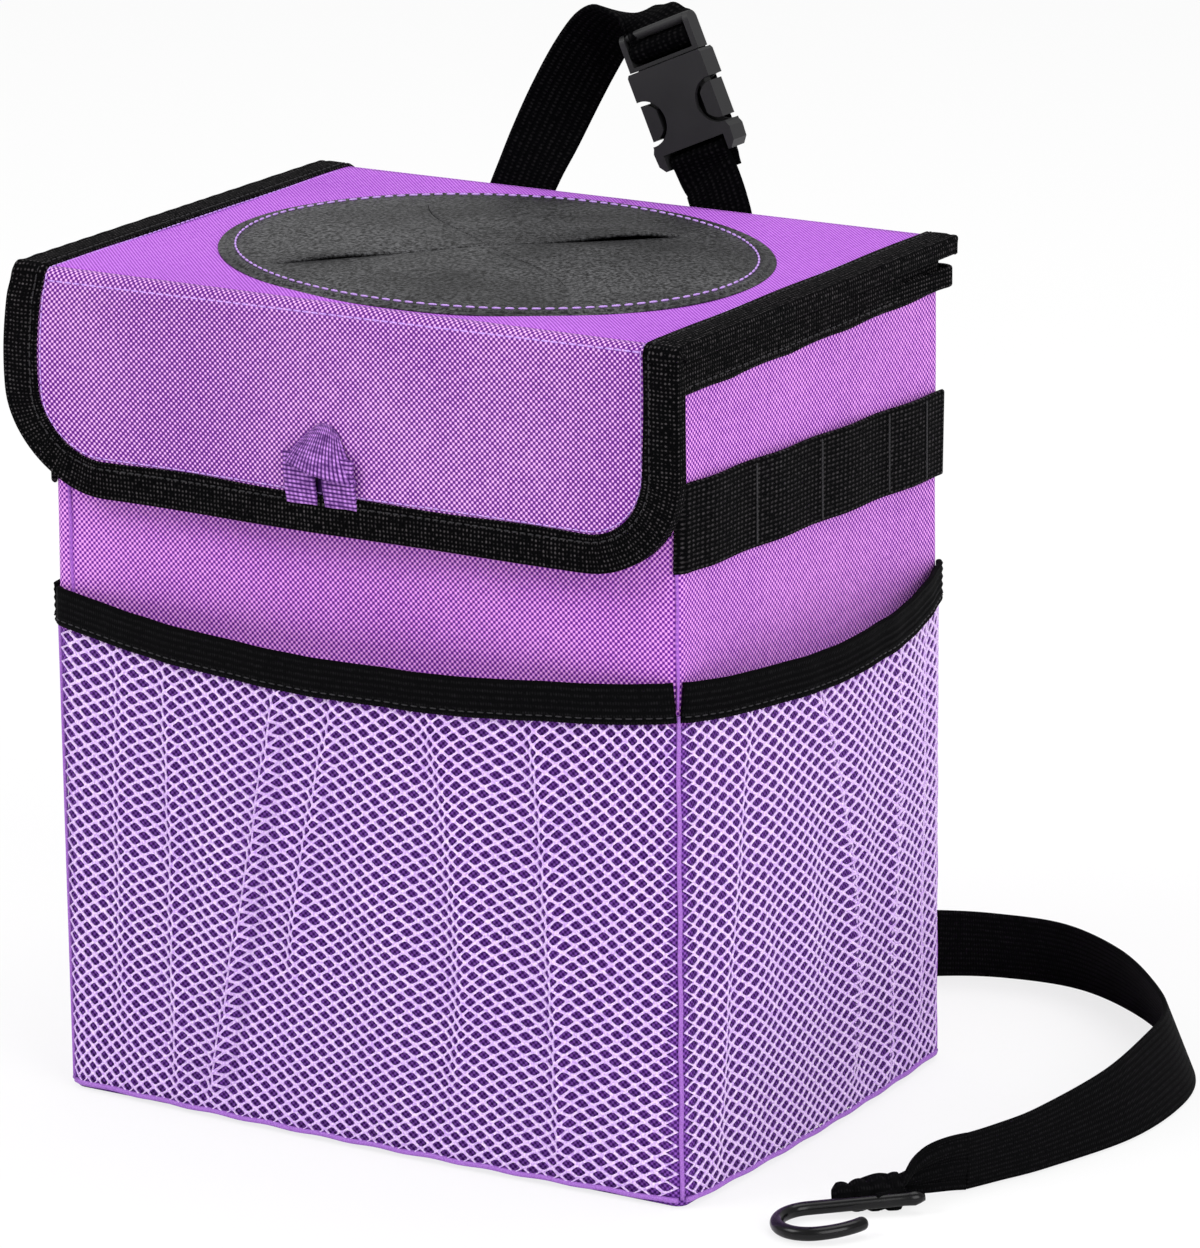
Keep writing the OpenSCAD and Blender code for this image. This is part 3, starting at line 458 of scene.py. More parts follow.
def foam_board():
    """Closed foam board: pale grey with fine cells."""
    f = Finish("foam_board", Roughness=0.8)
    cells = f.noise(700.0, 3.0)
    f.paint(f.blend(cells, colour(168, 168, 172), colour(196, 196, 200)))
    f.bump(cells, 0.2, 0.6)
    return f.material


LEATHER, PLASTIC, WIRE = grained_leather(), satin_plastic(), dipped_wire()
LILAC_THREAD = plain_thread("lilac_thread", colour(150, 96, 206), colour(226, 190, 252))
BLACK_THREAD = plain_thread("black_thread", colour(4, 4, 5), colour(52, 50, 54))
LINING, PILE, BOARD = coated_lining(), closure_pile(), foam_board()

# %% [markdown]
# The lower strap is the one cord of the bin, so it comes before the cloth. It is a flat elastic
# that stands on its edge on the floor, runs out from the back wall and bends forward to the hook.
# A real one is woven and cut to length. Here its middle line is a smooth curve through points on
# the floor, and a thin rounded section is carried along it, leaning inward as in the picture.

# %% Lower strap
CORD_W, CORD_T, CORD_CLEAR = 25.0, 1.5, 0.35
LOOP_MIDDLE = np.array([60.0, 40.0, 0])
CORD_ROUTE = np.array([
    [-45, 76.05], [-25, 76.25], [0, 81], [25, 96], [48, 118], [70, 137], [90, 146], [115, 147],
    [142, 133], [165, 111], [181, 89], [187, 66], [187, 36], [178, 4], [171, -12], [166.5, -22]])


def flat_section(width, thickness, across=18, edge=5):
    """Closed outline of a flat strap: two long faces joined by half circles of its thickness.
    The first value runs across the strap and the second one through it."""
    r = thickness / 2
    x = np.linspace(-width / 2 + r, width / 2 - r, across)
    turn = np.linspace(-90, 90, edge + 2)[1:-1] * math.pi / 180
    top = np.stack([x[::-1], np.full(across, r)], 1)
    left = np.stack([-width / 2 + r - r * np.cos(turn), r * np.sin(-turn)], 1)
    foot = np.stack([x, np.full(across, -r)], 1)
    right = np.stack([width / 2 - r + r * np.cos(turn), r * np.sin(turn)], 1)
    return np.vstack([top, left, foot, right])


def strap_grid(path, across, section):
    """Section carried along a path: each ring is the path's point plus the section's first value
    times the direction across plus its second value times the face direction, which is square to
    the path and to the direction across."""
    ahead = headings(path)
    across = across - ahead * np.sum(across * ahead, 1)[:, None]
    across = unit(across)
    face = np.cross(ahead, across)
    return path[:, None] + section[..., :1] * across[:, None] + section[..., 1:] * face[:, None]


def capped(rows, cols):
    """Faces of a tube with its two ends closed by fans round an added middle point."""
    sides = grid_faces(rows, cols, loop_cols=True)
    j = np.arange(cols)
    after = (j + 1) % cols
    first = np.stack([after, j, np.full(cols, rows * cols)], 1)
    last = np.stack([(rows - 1) * cols + j, (rows - 1) * cols + after,
                     np.full(cols, rows * cols + 1)], 1)
    return list(sides) + list(first) + list(last)


def closed_strap(name, path, across, section, share, turned=False):
    """Section times its share, carried along a path and closed by a middle point at both ends. Its
    map is the plain section's place across and the distance along, in metres."""
    rings, run = strap_grid(path, across, section * share), run_of(path)
    points = np.vstack([rings.reshape(-1, 3), rings[0].mean(0), rings[-1].mean(0)])
    uv = np.vstack([map_of(section[:, 0], run[:, None]), [0, 0], [0, run[-1] * MM]])
    faces = capped(len(path), len(section))
    return make_mesh(name, points, [f[::-1] for f in faces] if turned else faces, uv)


def strap_piece(name, path, across, width, thickness, edge=5, wide=18, narrow=1.0):
    """Closed flat strap along a path. The share of its width may change from row to row."""
    share = np.stack(np.broadcast_arrays(narrow, np.ones(len(path))), -1)
    section = flat_section(width, thickness, wide, edge)
    return closed_strap(name, path, across, section, share[:, None])


def lower_strap():
    """Route in plan, with the strap upright at the wall and leaning inward further on. Its lower
    edge stays just above the floor, so the middle sinks as the strap leans. At the hook it is drawn
    together to two thirds of its width."""
    plan = through(CORD_ROUTE, 12)
    foot = xyz(plan[:, 0], plan[:, 1], 0.0)
    run = run_of(plan)
    part = run / run[-1]
    lean = np.radians(21) * smooth_step((part - 0.12) / 0.3) * smooth_step((1.02 - part) / 0.25)
    ahead = headings(foot)
    inward = xyz(-ahead[:, 1], ahead[:, 0], 0.0)
    inward = inward * np.sign(np.sum(inward * (LOOP_MIDDLE - foot), 1))[:, None]
    across = inward * np.sin(lean)[:, None] + UP * np.cos(lean)[:, None]
    share = 1 - 0.33 * smooth_step((part - 0.74) / 0.26)
    middle_z = CORD_W / 2 * share * np.cos(lean) + CORD_CLEAR
    aside = inward * (CORD_W / 2 * np.sin(lean))[:, None] * 0.6
    return foot + aside + UP * middle_z[:, None], across, share


cord_path, cord_across, cord_share = lower_strap()
cord = strap_piece("elastic_cord", cord_path, cord_across, CORD_W, CORD_T, narrow=cord_share)
settle(cord, ELASTIC, "bin", "black_elastic", "lower_strap")

# %% [markdown]
# The shape of the bin comes from a shell of oxford cloth sewn round foam boards. On the real bin
# the cloth is one wrap with a seam at the back and a base sewn in. Here it is one grid: a rounded
# rectangle as the loop, carried down the wall, round the base edge and in to the middle. Slow
# waves of less than a millimetre keep the walls from looking like plates.

# %% Loops round the body
CORNERS = ((-1, 1), (-1, -1), (1, -1), (1, 1))


def rounded_loop(half_w, half_d, radius, straight=24, turn=7):
    """Rounded rectangle seen from above, from the middle of the back round to itself. Each corner
    is a quarter circle about its own centre, and straight lines join the four."""
    points, ways = [np.array([[0.0, half_d]])], [np.array([[0.0, 1.0]])]
    for k, (sx, sy) in enumerate(CORNERS):
        angles = np.radians(90 + 90 * k + np.linspace(0, 90, turn))
        way = np.stack([np.cos(angles), np.sin(angles)], 1)
        arc = np.array([sx * (half_w - radius), sy * (half_d - radius)]) + radius * way
        t = np.linspace(0, 1, straight)[1:-1, None]
        points += [points[-1][-1] * (1 - t) + arc[0] * t, arc]
        ways += [np.repeat(way[:1], len(t), 0), way]
    t = np.linspace(0, 1, straight)[1:, None]
    points.append(points[-1][-1] * (1 - t) + points[0] * t)
    ways.append(np.repeat(ways[0], len(t), 0))
    return np.vstack(points), np.vstack(ways)


def band(loops, heights):
    """Grid of loops seen from above, one for each height."""
    return np.stack([np.hstack([p, np.full((len(p), 1), z)]) for p, z in zip(loops, heights)])


def band_map(grid):
    """Map of a band: distance round its first loop, and distance down its first column."""
    return map_of(run_of(grid[0]), run_of(grid[:, 0])[:, None])


def open_corners(face):
    """Corners of a face without those that have become one with the corner before."""
    return [v for k, v in enumerate(face) if v != face[k - 1]]


def closed_at_pole(name, grid, flip):
    """Mesh of a band whose last row has shrunk to one point. That row keeps a single corner, and
    the faces that meet it become triangles."""
    rows, cols = grid.shape[:2]
    pole = (rows - 1) * cols
    faces = np.minimum(grid_faces(rows, cols), pole)
    faces = [open_corners(face) for face in (faces[:, ::-1] if flip else faces)]
    return make_mesh(name, grid.reshape(-1, 3)[:pole + 1], faces, band_map(grid)[:pole + 1])


def slow_waves(points, size, seed):
    """Soft unevenness from a few sines of the place, between plus and minus size."""
    way = np.random.default_rng(seed).uniform(0.015, 0.05, (4, 3))
    phase = np.random.default_rng(seed + 1).uniform(0, 2 * math.pi, 4)
    return size * np.mean(np.sin(points @ way.T * 2 + phase), axis=-1)


# %% Outer cloth
FOOT_R = 1.6


def outer_cloth():
    """Wall rows from the rim down, three rows round the base edge, then the base itself shrinking
    to its middle. The waves fade at the rim and the foot, where seams hold the cloth."""
    wall_z = np.linspace(SHELL_TOP, FOOT_R, 44)
    loop, way = rounded_loop(HALF_W, HALF_D, CORNER_R)
    loops, heights = [loop] * len(wall_z), list(wall_z)
    for a in np.radians([30, 60, 90]):
        loops.append(loop - way * FOOT_R * (1 - math.cos(a)))
        heights.append(FOOT_R * (1 - math.sin(a)))
    for k in (0.97, 0.8, 0.55, 0.3, 0.0):
        loops.append((loop - way * FOOT_R) * k)
        heights.append(0.0)
    grid = band(loops, heights)
    hold = np.sin(np.pi * np.clip((grid[..., 2] - FOOT_R) / (SHELL_TOP - FOOT_R), 0, 1)) ** 0.5
    wave = slow_waves(grid, 0.5, 3) * hold
    grid[..., :2] += way[None] * wave[..., None]
    return closed_at_pole("outer_cloth", grid, flip=True)


outer = thicken(outer_cloth(), CLOTH_T)
settle(outer, WALL_CLOTH, "bin", "violet_cloth", "outer_shell")

# %% [markdown]
# The lining is a coated cloth that can be wiped. It hangs inside the boards as a box of its own and
# is caught under the rim tape. It only shows through the slits and when the lid stands open.

# %% Lining
def inner_lining():
    """Inner faces of the room and its floor, with waves that grow towards the floor."""
    half_w, half_d = HALF_W - WALL_T - LINING_T, HALF_D - WALL_T - LINING_T
    loop, way = rounded_loop(half_w, half_d, 1.6)
    wall_z = np.linspace(SHELL_TOP, 6.4, 30)
    loops, heights = [loop] * len(wall_z), list(wall_z)
    for k, z in ((0.995, 5.0), (0.98, 4.5), (0.8, 4.4), (0.5, 4.4), (0.25, 4.4), (0.0, 4.4)):
        loops.append(loop * k)
        heights.append(z)
    grid = band(loops, heights)
    deep = np.clip((SHELL_TOP - grid[..., 2]) / 60, 0, 1)
    grid[..., :2] -= way[None] * (np.abs(slow_waves(grid, 1.1, 8)) * deep)[..., None]
    return closed_at_pole("inner_lining", grid, flip=False)


lining = thicken(inner_lining(), LINING_T)
settle(lining, LINING, "bin", "coated_lining", "inner_liner")

# %% [markdown]
# A woven tape is folded over the raw rim and sewn through once. Its stitches are real pieces here,
# because a row of small shadows is what tells the eye that a tape is sewn. All the stitches of a
# row are one mesh: a small capsule, set down at equal steps along a line.

# %% Rows of stitches
def capsule(length, radius):
    """Stitch lying along x: rings whose radius is the square root of one minus the fourth power
    of the place along it, closed by a point at each end."""
    at, sides = np.array([-0.86, -0.45, 0.0, 0.45, 0.86]), 6
    wide = radius * np.sqrt(1 - np.abs(at) ** 4)
    turn = np.linspace(0, 2 * math.pi, sides, endpoint=False)
    rings = np.stack([np.repeat(at[:, None] * length / 2, sides, 1),
                      wide[:, None] * np.cos(turn), wide[:, None] * np.sin(turn)], -1)
    points = np.vstack([rings.reshape(-1, 3), [-length / 2, 0, 0], [length / 2, 0, 0]])
    return points, capped(len(at), sides)


def stitch_row(name, path, normals, pitch, length, radius, lift):
    """Stitches at equal steps along a path, lying in its direction and lifted along its normals.
    The step is made a little longer or shorter, so that a whole number fits."""
    run = run_of(path)
    count = max(2, int(round(run[-1] / pitch)))
    at = (np.arange(count) + 0.5) * run[-1] / count

    def at_stitches(values):
        return np.stack([np.interp(at, run, values[:, k]) for k in range(3)], 1)

    up = unit(at_stitches(np.broadcast_to(normals, path.shape)))
    along = unit(at_stitches(headings(path)))
    across = unit(np.cross(up, along))
    shape, faces = capsule(length, radius)
    centre = at_stitches(path) + up * lift
    points = (centre[:, None] + shape[None, :, :1] * along[:, None]
              + shape[None, :, 1:2] * across[:, None] + shape[None, :, 2:] * up[:, None])
    every = [[v + k * len(shape) for v in face] for k in range(count) for face in faces]
    print(name, "has", count, "stitches")
    return make_mesh(name, points, every)


# %% Rim tape
def rim_tape():
    """Profile over the rim: up the outside, over the top with small round edges and down the
    inside. Outer and inner loops have the same number of points, and the top runs between them."""
    out, in_ = 0.9, WALL_T + LINING_T + 0.9
    outer_loop, way = rounded_loop(HALF_W + out, HALF_D + out, CORNER_R + out)
    inner_loop, _ = rounded_loop(HALF_W - in_, HALF_D - in_, 1.5)
    low, high = RIM_TOP - 11.5, RIM_TOP - 1.2
    rise = [(0, z) for z in np.linspace(low, high, 6)]
    over = [(0.06, RIM_TOP - 0.4), (0.2, RIM_TOP - 0.05), (0.5, RIM_TOP), (0.8, RIM_TOP - 0.05),
            (0.94, RIM_TOP - 0.4)]
    fall = [(1, z) for z in np.linspace(high, low, 5)]
    shares, heights = zip(*(rise + over + fall))
    grid = band([outer_loop * (1 - k) + inner_loop * k for k in shares], heights)
    run = run_of(outer_loop)
    loose = np.clip((RIM_TOP - 3 - grid[..., 2]) / 8, 0, 1)
    grid[..., 2] += loose * 0.25 * np.sin(run / 5.3)[None]
    pucker = 0.16 * np.sin(run / 1.9) * np.sin(run / 7.7)
    grid[:len(rise), :, :2] += (way * pucker[:, None])[None]
    made = make_mesh("rim_tape", grid, grid_faces(*grid.shape[:2]), band_map(grid))
    return made, outer_loop, way


rim, rim_loop, rim_way = rim_tape()
settle(thicken(rim, TAPE_T), TAPE, "bin", "black_tape", "rim_binding")
rim_line = xyz(*rim_loop.T, RIM_TOP - 9.2)
settle(stitch_row("rim_stitches", rim_line, xyz(*rim_way.T, 0.0), 3.3, 2.3, 0.3, 0.12),
       BLACK_THREAD, "bin", "black_tape")

# %% [markdown]
# The front panel is joined to the side panels by upright seams. Each shows as a thin rolled ridge,
# one right at the corner and one a little way in on the left. The same small tube is used again
# for the seams of the nets.

# %% Upright seams
def tube(name, path, radius, sides=10):
    """Round tube along a path. Its first direction is any one square to the path, and each ring
    turns it as little as it can by taking out the part along the new heading."""
    ahead = headings(path)
    side = np.zeros_like(path)
    near = np.array([0.0, 0, 1]) if abs(ahead[0][2]) < 0.9 else np.array([1.0, 0, 0])
    for k, way in enumerate(ahead):
        near = unit(near - way * np.dot(near, way))
        side[k] = near
    other = np.cross(ahead, side)
    turn = np.linspace(0, 2 * math.pi, sides, endpoint=False)
    radius = np.broadcast_to(radius, len(path))
    rings = path[:, None] + radius[:, None, None] * (np.cos(turn)[None, :, None] * side[:, None]
                                                     + np.sin(turn)[None, :, None] * other[:, None])
    points = np.vstack([rings.reshape(-1, 3), path[0], path[-1]])
    return make_mesh(name, points, capped(len(path), sides))


LILAC_CLOTH = plain_thread("seam_cloth", colour(110, 44, 152), colour(196, 122, 232))
seam_high = np.linspace(146, 235, 40)
for x, y, label in ((104.1, -74.1, "right"), (-98.6, -75.1, "left")):
    line = xyz(x + 0.12 * np.sin(seam_high / 3), y, seam_high)
    settle(tube("wall_seam_" + label, line, 0.5, 8), LILAC_CLOTH, "bin", "violet_cloth")

# %% [markdown]
# The lid is a stiff panel whose cloth runs forward over a sewn fold and hangs down as the flap. The
# top is a grid between two loops: the oval hole and the lid's edge. Every point keeps its own x and
# y as its map, so the weave runs straight over the whole lid and on down the flap.

# %% Lid cloth
TURN_C, TURN_S = math.cos(math.radians(OVAL_TURN)), math.sin(math.radians(OVAL_TURN))
HOLE_IN = 6


def oval_at(angle, a, b):
    """Point of the turned oval with half axes a and b at an angle of its own circle."""
    u, v = a * np.cos(angle), b * np.sin(angle)
    return np.stack([OVAL_X + u * TURN_C - v * TURN_S, OVAL_Y + u * TURN_S + v * TURN_C], -1)


def oval_own(x, y):
    """Place in the oval's own two ways, measured from its middle."""
    dx, dy = x - OVAL_X, y - OVAL_Y
    return dx * TURN_C + dy * TURN_S, dy * TURN_C - dx * TURN_S


def lid_sheet(name, front, z, hump, flip=False):
    """Rows from the oval hole to the lid's edge: the mix of the two loops, where each point of the
    outer loop meets the oval at its own angle. Waves rise between the two and fade at both."""
    depth = (LID_BACK - front) / 2
    edge, _ = rounded_loop(LID_HALF_W, depth, 0.6, 34, 3)
    edge = edge + [0, front + depth]
    (u, v), a, b = oval_own(edge[:, 0], edge[:, 1]), OVAL_A - HOLE_IN, OVAL_B - HOLE_IN
    hole = oval_at(np.arctan2(v / b, u / a), a, b)
    k = np.linspace(0, 1, 15)[:, None, None]
    flat = hole[None] * (1 - k) + edge[None] * k
    lift = hump * np.sin(np.pi * k[..., 0]) * np.sin(flat[..., 0] / 13 + flat[..., 1] / 21)
    grid = np.concatenate([flat, (z + lift)[..., None]], -1)
    faces = grid_faces(*grid.shape[:2])
    return make_mesh(name, grid, faces if flip else faces[:, ::-1], flat.reshape(-1, 2) * MM)


lid_top = thicken(lid_sheet("lid_cloth", LID_FRONT, TOP, 0.35), CLOTH_T)
lid_under = thicken(lid_sheet("lid_lining", LID_FRONT + 2, LID_UNDER, 0.0, True), LINING_T)
settle(lid_top, LID_CLOTH, "lid", "violet_cloth", "lid_panel")
settle(lid_under, LINING, "lid", "coated_lining", "lid_liner")


def back_roll():
    """Back edge of the lid's cloth: an arc of 58 degrees about the line that the lid turns on."""
    x = np.linspace(-LID_HALF_W + 2.4, LID_HALF_W - 2.4, 60)
    a = np.radians(np.linspace(0, ROLL_END, 9))[:, None]
    grid = xyz(x, LID_BACK + ROLL_R * np.sin(a), HINGE_Z + ROLL_R * np.cos(a))
    uv = map_of(x, LID_BACK + ROLL_R * a)
    return make_mesh("lid_back_edge", grid, grid_faces(*grid.shape[:2]), uv)


settle(thicken(back_roll(), CLOTH_T), LID_CLOTH, "lid", "violet_cloth")

# %% [markdown]
# The flap is the same cloth, so it is one grid with the fold. It has to bend where the lid's body
# ends and the flap's body begins. The pieces that cross the fold are attached to no body: their
# place is baked into their points.


def share_fold(piece, finish, slot, *replaced):
    """Settles a piece that crosses the fold: it takes its finish, its place is baked into its
    points and the solids that it stands for are hidden. It is attached to no body.
    """
    piece.data.materials.append(finish)
    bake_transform(piece)
    if replaced:
        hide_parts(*replaced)


def flap_bulge(x, z):
    """How far the flap leaves its flat plane, forward when negative: two crossing waves that grow
    from nothing at the fold to full size 50 mm below it."""
    grow = np.clip((FOLD_Z - z) / 50, 0, 1)
    return -grow * (0.8 * np.sin(x / 33 + 0.7) + 0.5 * np.sin(x / 15 - z / 19) + 0.2)


def flap_flare(x, z):
    """Sideways set of the flap: its left edge swings out by 4 mm half way down."""
    swing = np.sin(np.pi * np.clip((252 - z) / 62, 0, 1))
    return -4.2 * np.clip(-x / LID_HALF_W, 0, 1) ** 2 * swing


def flap_half_width(z):
    """Half width of the flap at a height: full above the round corners and a circle within."""
    down = np.clip(FLAP_ROUND_FROM - z, 0, FLAP_R)
    return FLAP_FLAT_HALF + np.sqrt(FLAP_R ** 2 - down ** 2)


def flap_foot_rows(count):
    """Heights where the corners are round: rows at even angles of their circle."""
    return FLAP_FOOT + FLAP_R * (1 - np.sin(np.linspace(0, math.pi / 2, count)))


def flap_cloth():
    """Rows over the fold and down the front: level to the fold, a quarter circle round it, then
    down with the bulge. The last rows are set closer, where the corners are round."""
    arc = np.radians(np.linspace(0, 90, 9))
    fall = np.concatenate([np.linspace(FOLD_Z, FLAP_ROUND_FROM, 22)[1:], flap_foot_rows(20)[1:]])
    y = np.concatenate([[LID_FRONT, LID_FRONT - 0.6], FOLD_Y - FLAP_T * np.sin(arc),
                        np.full(len(fall), FLAP_FACE)])
    z = np.concatenate([[TOP, TOP], FOLD_Z + FLAP_T * np.cos(arc), fall])
    run = run_of(np.stack([y, z], 1))
    x = np.linspace(-1, 1, 130)[None] * flap_half_width(z)[:, None]
    y, z, run = (np.broadcast_to(v[:, None], x.shape) for v in (y, z, run))
    grid = np.stack([x, y + flap_bulge(x, z) * (z < FOLD_Z), z], -1)
    grid[..., 0] += flap_flare(x, z)
    faces = grid_faces(*grid.shape[:2])[:, ::-1]
    return make_mesh("fold_and_flap_cloth", grid, faces, map_of(x, LID_FRONT - run))


share_fold(thicken(flap_cloth(), 1.6), VIOLET, "violet_cloth", "flap_panel")


def flap_lining():
    """Back of the flap: the same outline from under the fold down, with the same bulge."""
    z = np.concatenate([np.linspace(243.4, FLAP_ROUND_FROM, 12)[:-1], flap_foot_rows(16)])
    x = np.linspace(-1, 1, 80)[None] * (flap_half_width(z)[:, None] - 0.4)
    z = np.broadcast_to(z[:, None], x.shape)
    grid = np.stack([x + flap_flare(x, z), FOLD_Y + flap_bulge(x, z), z], -1)
    uv = grid[..., [0, 2]].reshape(-1, 2) * MM
    return make_mesh("flap_lining", grid, grid_faces(*grid.shape[:2]), uv)


settle(thicken(flap_lining(), LINING_T), LINING, "flap", "coated_lining", "flap_liner")

# %% [markdown]
# One tape closes the raw edges of lid and flap. It runs forward along one side of the lid, turns
# over the end of the fold, goes round the flap and back along the other side. Its section is a
# long U that wraps the edge. The section is carried along the edge with two directions at every
# point: outward from the edge, and up from the cloth.

# %% Tape round lid and flap
def edge_part(points, out, up, depth, under):
    """One stretch of the edge. A direction or a depth that is given once holds for all of it."""
    ways = [np.broadcast_to(way, points.shape) for way in (out, up)]
    return [points, *ways, *(np.broadcast_to(v, len(points)) for v in (depth, under))]


def edge_line():
    """Edge of lid and flap: its points, the outward and upward directions, and how deep and how
    far under the tape reaches. The left half comes first, then the same mirrored."""
    left_way, short_under, long_under = [-1.0, 0, 0], 3.4, 10.4
    a = np.radians(np.linspace(ROLL_END, 0, 7))[:-1]
    back = edge_part(xyz(-LID_HALF_W + 2.2 * np.sin(a) ** 2, LID_BACK + 2.6 * np.sin(a),
                         HINGE_Z + ROLL_R * np.cos(a)), left_way, xyz(0.0, np.sin(a), np.cos(a)),
                     2.6 + 1.8 * smooth_step(1 - a), short_under)
    lid = edge_part(xyz(-LID_HALF_W, np.linspace(LID_BACK, FOLD_Y, 90)[:-1], TOP), left_way, UP,
                    4.4, short_under)
    a = np.radians(np.linspace(0, 90, 12))
    fold = edge_part(xyz(-LID_HALF_W, FOLD_Y - FLAP_T * np.sin(a), FOLD_Z + FLAP_T * np.cos(a)),
                     left_way, xyz(0.0, -np.sin(a), np.cos(a)),
                     2.5, short_under + 7.0 * smooth_step(a / 1.57))
    corner = np.radians(np.linspace(0, 90, 24))
    x = np.concatenate([np.full(20, -LID_HALF_W), -FLAP_FLAT_HALF - FLAP_R * np.cos(corner),
                        np.linspace(-FLAP_FLAT_HALF, 0, 50)[1:]])
    z = np.concatenate([np.linspace(FOLD_Z, FLAP_ROUND_FROM, 21)[1:],
                        FLAP_ROUND_FROM - FLAP_R * np.sin(corner), np.full(49, FLAP_FOOT)])
    way = np.concatenate([np.zeros(20), corner, np.full(49, math.pi / 2)])
    hang = edge_part(xyz(x, FLAP_FACE, z), xyz(-np.cos(way), 0.0, -np.sin(way)), [0.0, -1, 0],
                     2.5 + 1.2 * smooth_step((FOLD_Z - z) / 8), long_under)
    left = [np.concatenate(part) for part in zip(back, lid, fold, hang)]
    flip = np.array([-1.0, 1, 1])
    right = [part * flip if part.ndim > 1 else part for part in left]
    return [np.concatenate([part, other[-2::-1]]) for part, other in zip(left, right)]


def with_flap(points):
    """Adds the flap's bulge and flare to points on it, so that the tape lies on the cloth."""
    x, z = points[..., 0].copy(), points[..., 2]
    hangs = points[..., 1] < LID_FRONT
    points[..., 1] += flap_bulge(x, z) * hangs
    points[..., 0] += flap_flare(x, z) * hangs * smooth_step((251 - z) / 10)
    return points


def edge_tape():
    """Section from the inner edge on the face, out over the edge and back underneath. Puckers
    gather near the fold and in the round corners, where the tape has more length than it needs."""
    at, out, up, depth, under = edge_line()
    run = run_of(at)
    half = np.minimum(run, run[-1] - run)
    tight = np.exp(-((half - 166) / 12) ** 2) + 0.9 * np.exp(-((half - 220) / 16) ** 2)
    pucker = (0.06 + 0.3 * tight) * np.sin(run / 1.5 + 2 * np.sin(run / 11))
    slack = 0.25 * np.sin(run / 9.1)
    face = [(-TAPE_W, 0.3), (-TAPE_W + 0.25, 0.75), (-TAPE_W + 0.9, 1.0), (-8.3, 0.78),
            (-7.2, 1.0), (-5, 1.05), (-3, 1.05), (-1.6, 0.8), (-0.6, 0.95), (0.3, 0.85),
            (0.75, 0.5), (0.9, -0.1)]
    rows = [np.stack([np.full_like(run, o) + slack * (k < 3), n + pucker * (1 < k < 10)], 1)
            for k, (o, n) in enumerate(face)]
    rows += [np.stack([0.9 + 0 * run, -f * depth], 1) for f in (0.35, 0.7, 0.93)]
    rows += [np.stack([0.5 + 0 * run, -depth], 1), np.stack([-under * 0.5, -depth], 1),
             np.stack([-under, -depth + 0.1], 1)]
    section = np.stack(rows, 1)
    grid = with_flap(at[:, None] + section[..., :1] * out[:, None] + section[..., 1:] * up[:, None])
    turned = [(0.9, -1.5), (0.9, -2.8), (0.9, -3.6), (0.5, -4), (-3, -4), (-9, -4)]
    uv = map_of(run[:, None], run_of(np.array(face + turned)))
    return make_mesh("lid_and_flap_tape", grid, grid_faces(*grid.shape[:2]), uv)


share_fold(thicken(edge_tape(), 0.6), TAPE, "black_tape", "lid_binding", "flap_binding")
edge_at, edge_out, edge_up = edge_line()[:3]
tape_sewing = with_flap(edge_at - edge_out * 8.2 + edge_up * 0.8)
share_fold(stitch_row("tape_stitches", tape_sewing, edge_up, 2.6, 1.9, 0.26, 0.05),
           BLACK_THREAD, "black_tape")
edge_sewing = with_flap(edge_at - edge_out * 11.1 + edge_up * 0.05)[10:-10]
share_fold(stitch_row("tape_edge_stitches", edge_sewing, edge_up[10:-10], 2.4, 2.0, 0.2, 0.1),
           LILAC_THREAD, "violet_cloth")

line_x = np.linspace(-98.5, 98.5, 90)
fold_sewing = xyz(line_x, -82.85, 247.4 + 0.008 * line_x)
share_fold(stitch_row("fold_stitches", fold_sewing, [0, -0.94, 0.35], 2.9, 2.5, 0.26, 0.12),
           LILAC_THREAD, "violet_cloth")

# %% [markdown]
# The leather insert is what makes this bin: an oval with two crossed slits that let rubbish in and
# hide it again. It takes the most care. The cuts divide it in four petals that stay joined at the
# rim. Each petal is a fan of rays from the crossing, and points that meet beyond the end of a slit
# are welded. Along one slit the rear petals spring up a little, which opens two dark lenses.

# %% Leather with two slits
CROSSING = np.array([1.0, -5.5])
SLIT_ENDS = np.array([[44.8, 34.8], [-48.2, 37.6], [-41.2, -51.2], [51.3, -43.3]])
SEW_IN, PETAL_Z = 3.4, 251.1
# Edges of petals that spring up or sink, by petal and slit: height, start and skew of the lens
# along the slit, and how far it reaches across the petal.
SPRINGS = {(0, 0): (1.6, 0.22, 1.6, 16), (1, 2): (1.0, 0.35, 1.4, 14),
           (3, 0): (-0.35, 0.0, 1.0, 12), (2, 2): (-0.35, 0.0, 1.0, 12)}


def reach(way):
    """Distance from the crossing to the oval along a direction: the positive root of the oval's
    equation for a point on the ray, in the oval's own two ways."""
    px, py = oval_own(*CROSSING)
    dx, dy = oval_own(way[..., 0] + OVAL_X, way[..., 1] + OVAL_Y)
    px, py, dx, dy = px / OVAL_A, py / OVAL_B, dx / OVAL_A, dy / OVAL_B
    two, half, rest = dx * dx + dy * dy, px * dx + py * dy, px * px + py * py - 1
    return (-half + np.sqrt(half * half - two * rest)) / two


def weld(points, faces):
    """Joins points that lie in the same place, and drops corners that have become one."""
    _, first, back = np.unique(np.round(points, 3), axis=0, return_index=True, return_inverse=True)
    rings = [open_corners(face) for face in back.reshape(-1)[np.asarray(faces)]]
    return points[first], [ring for ring in rings if len(set(ring)) > 2]


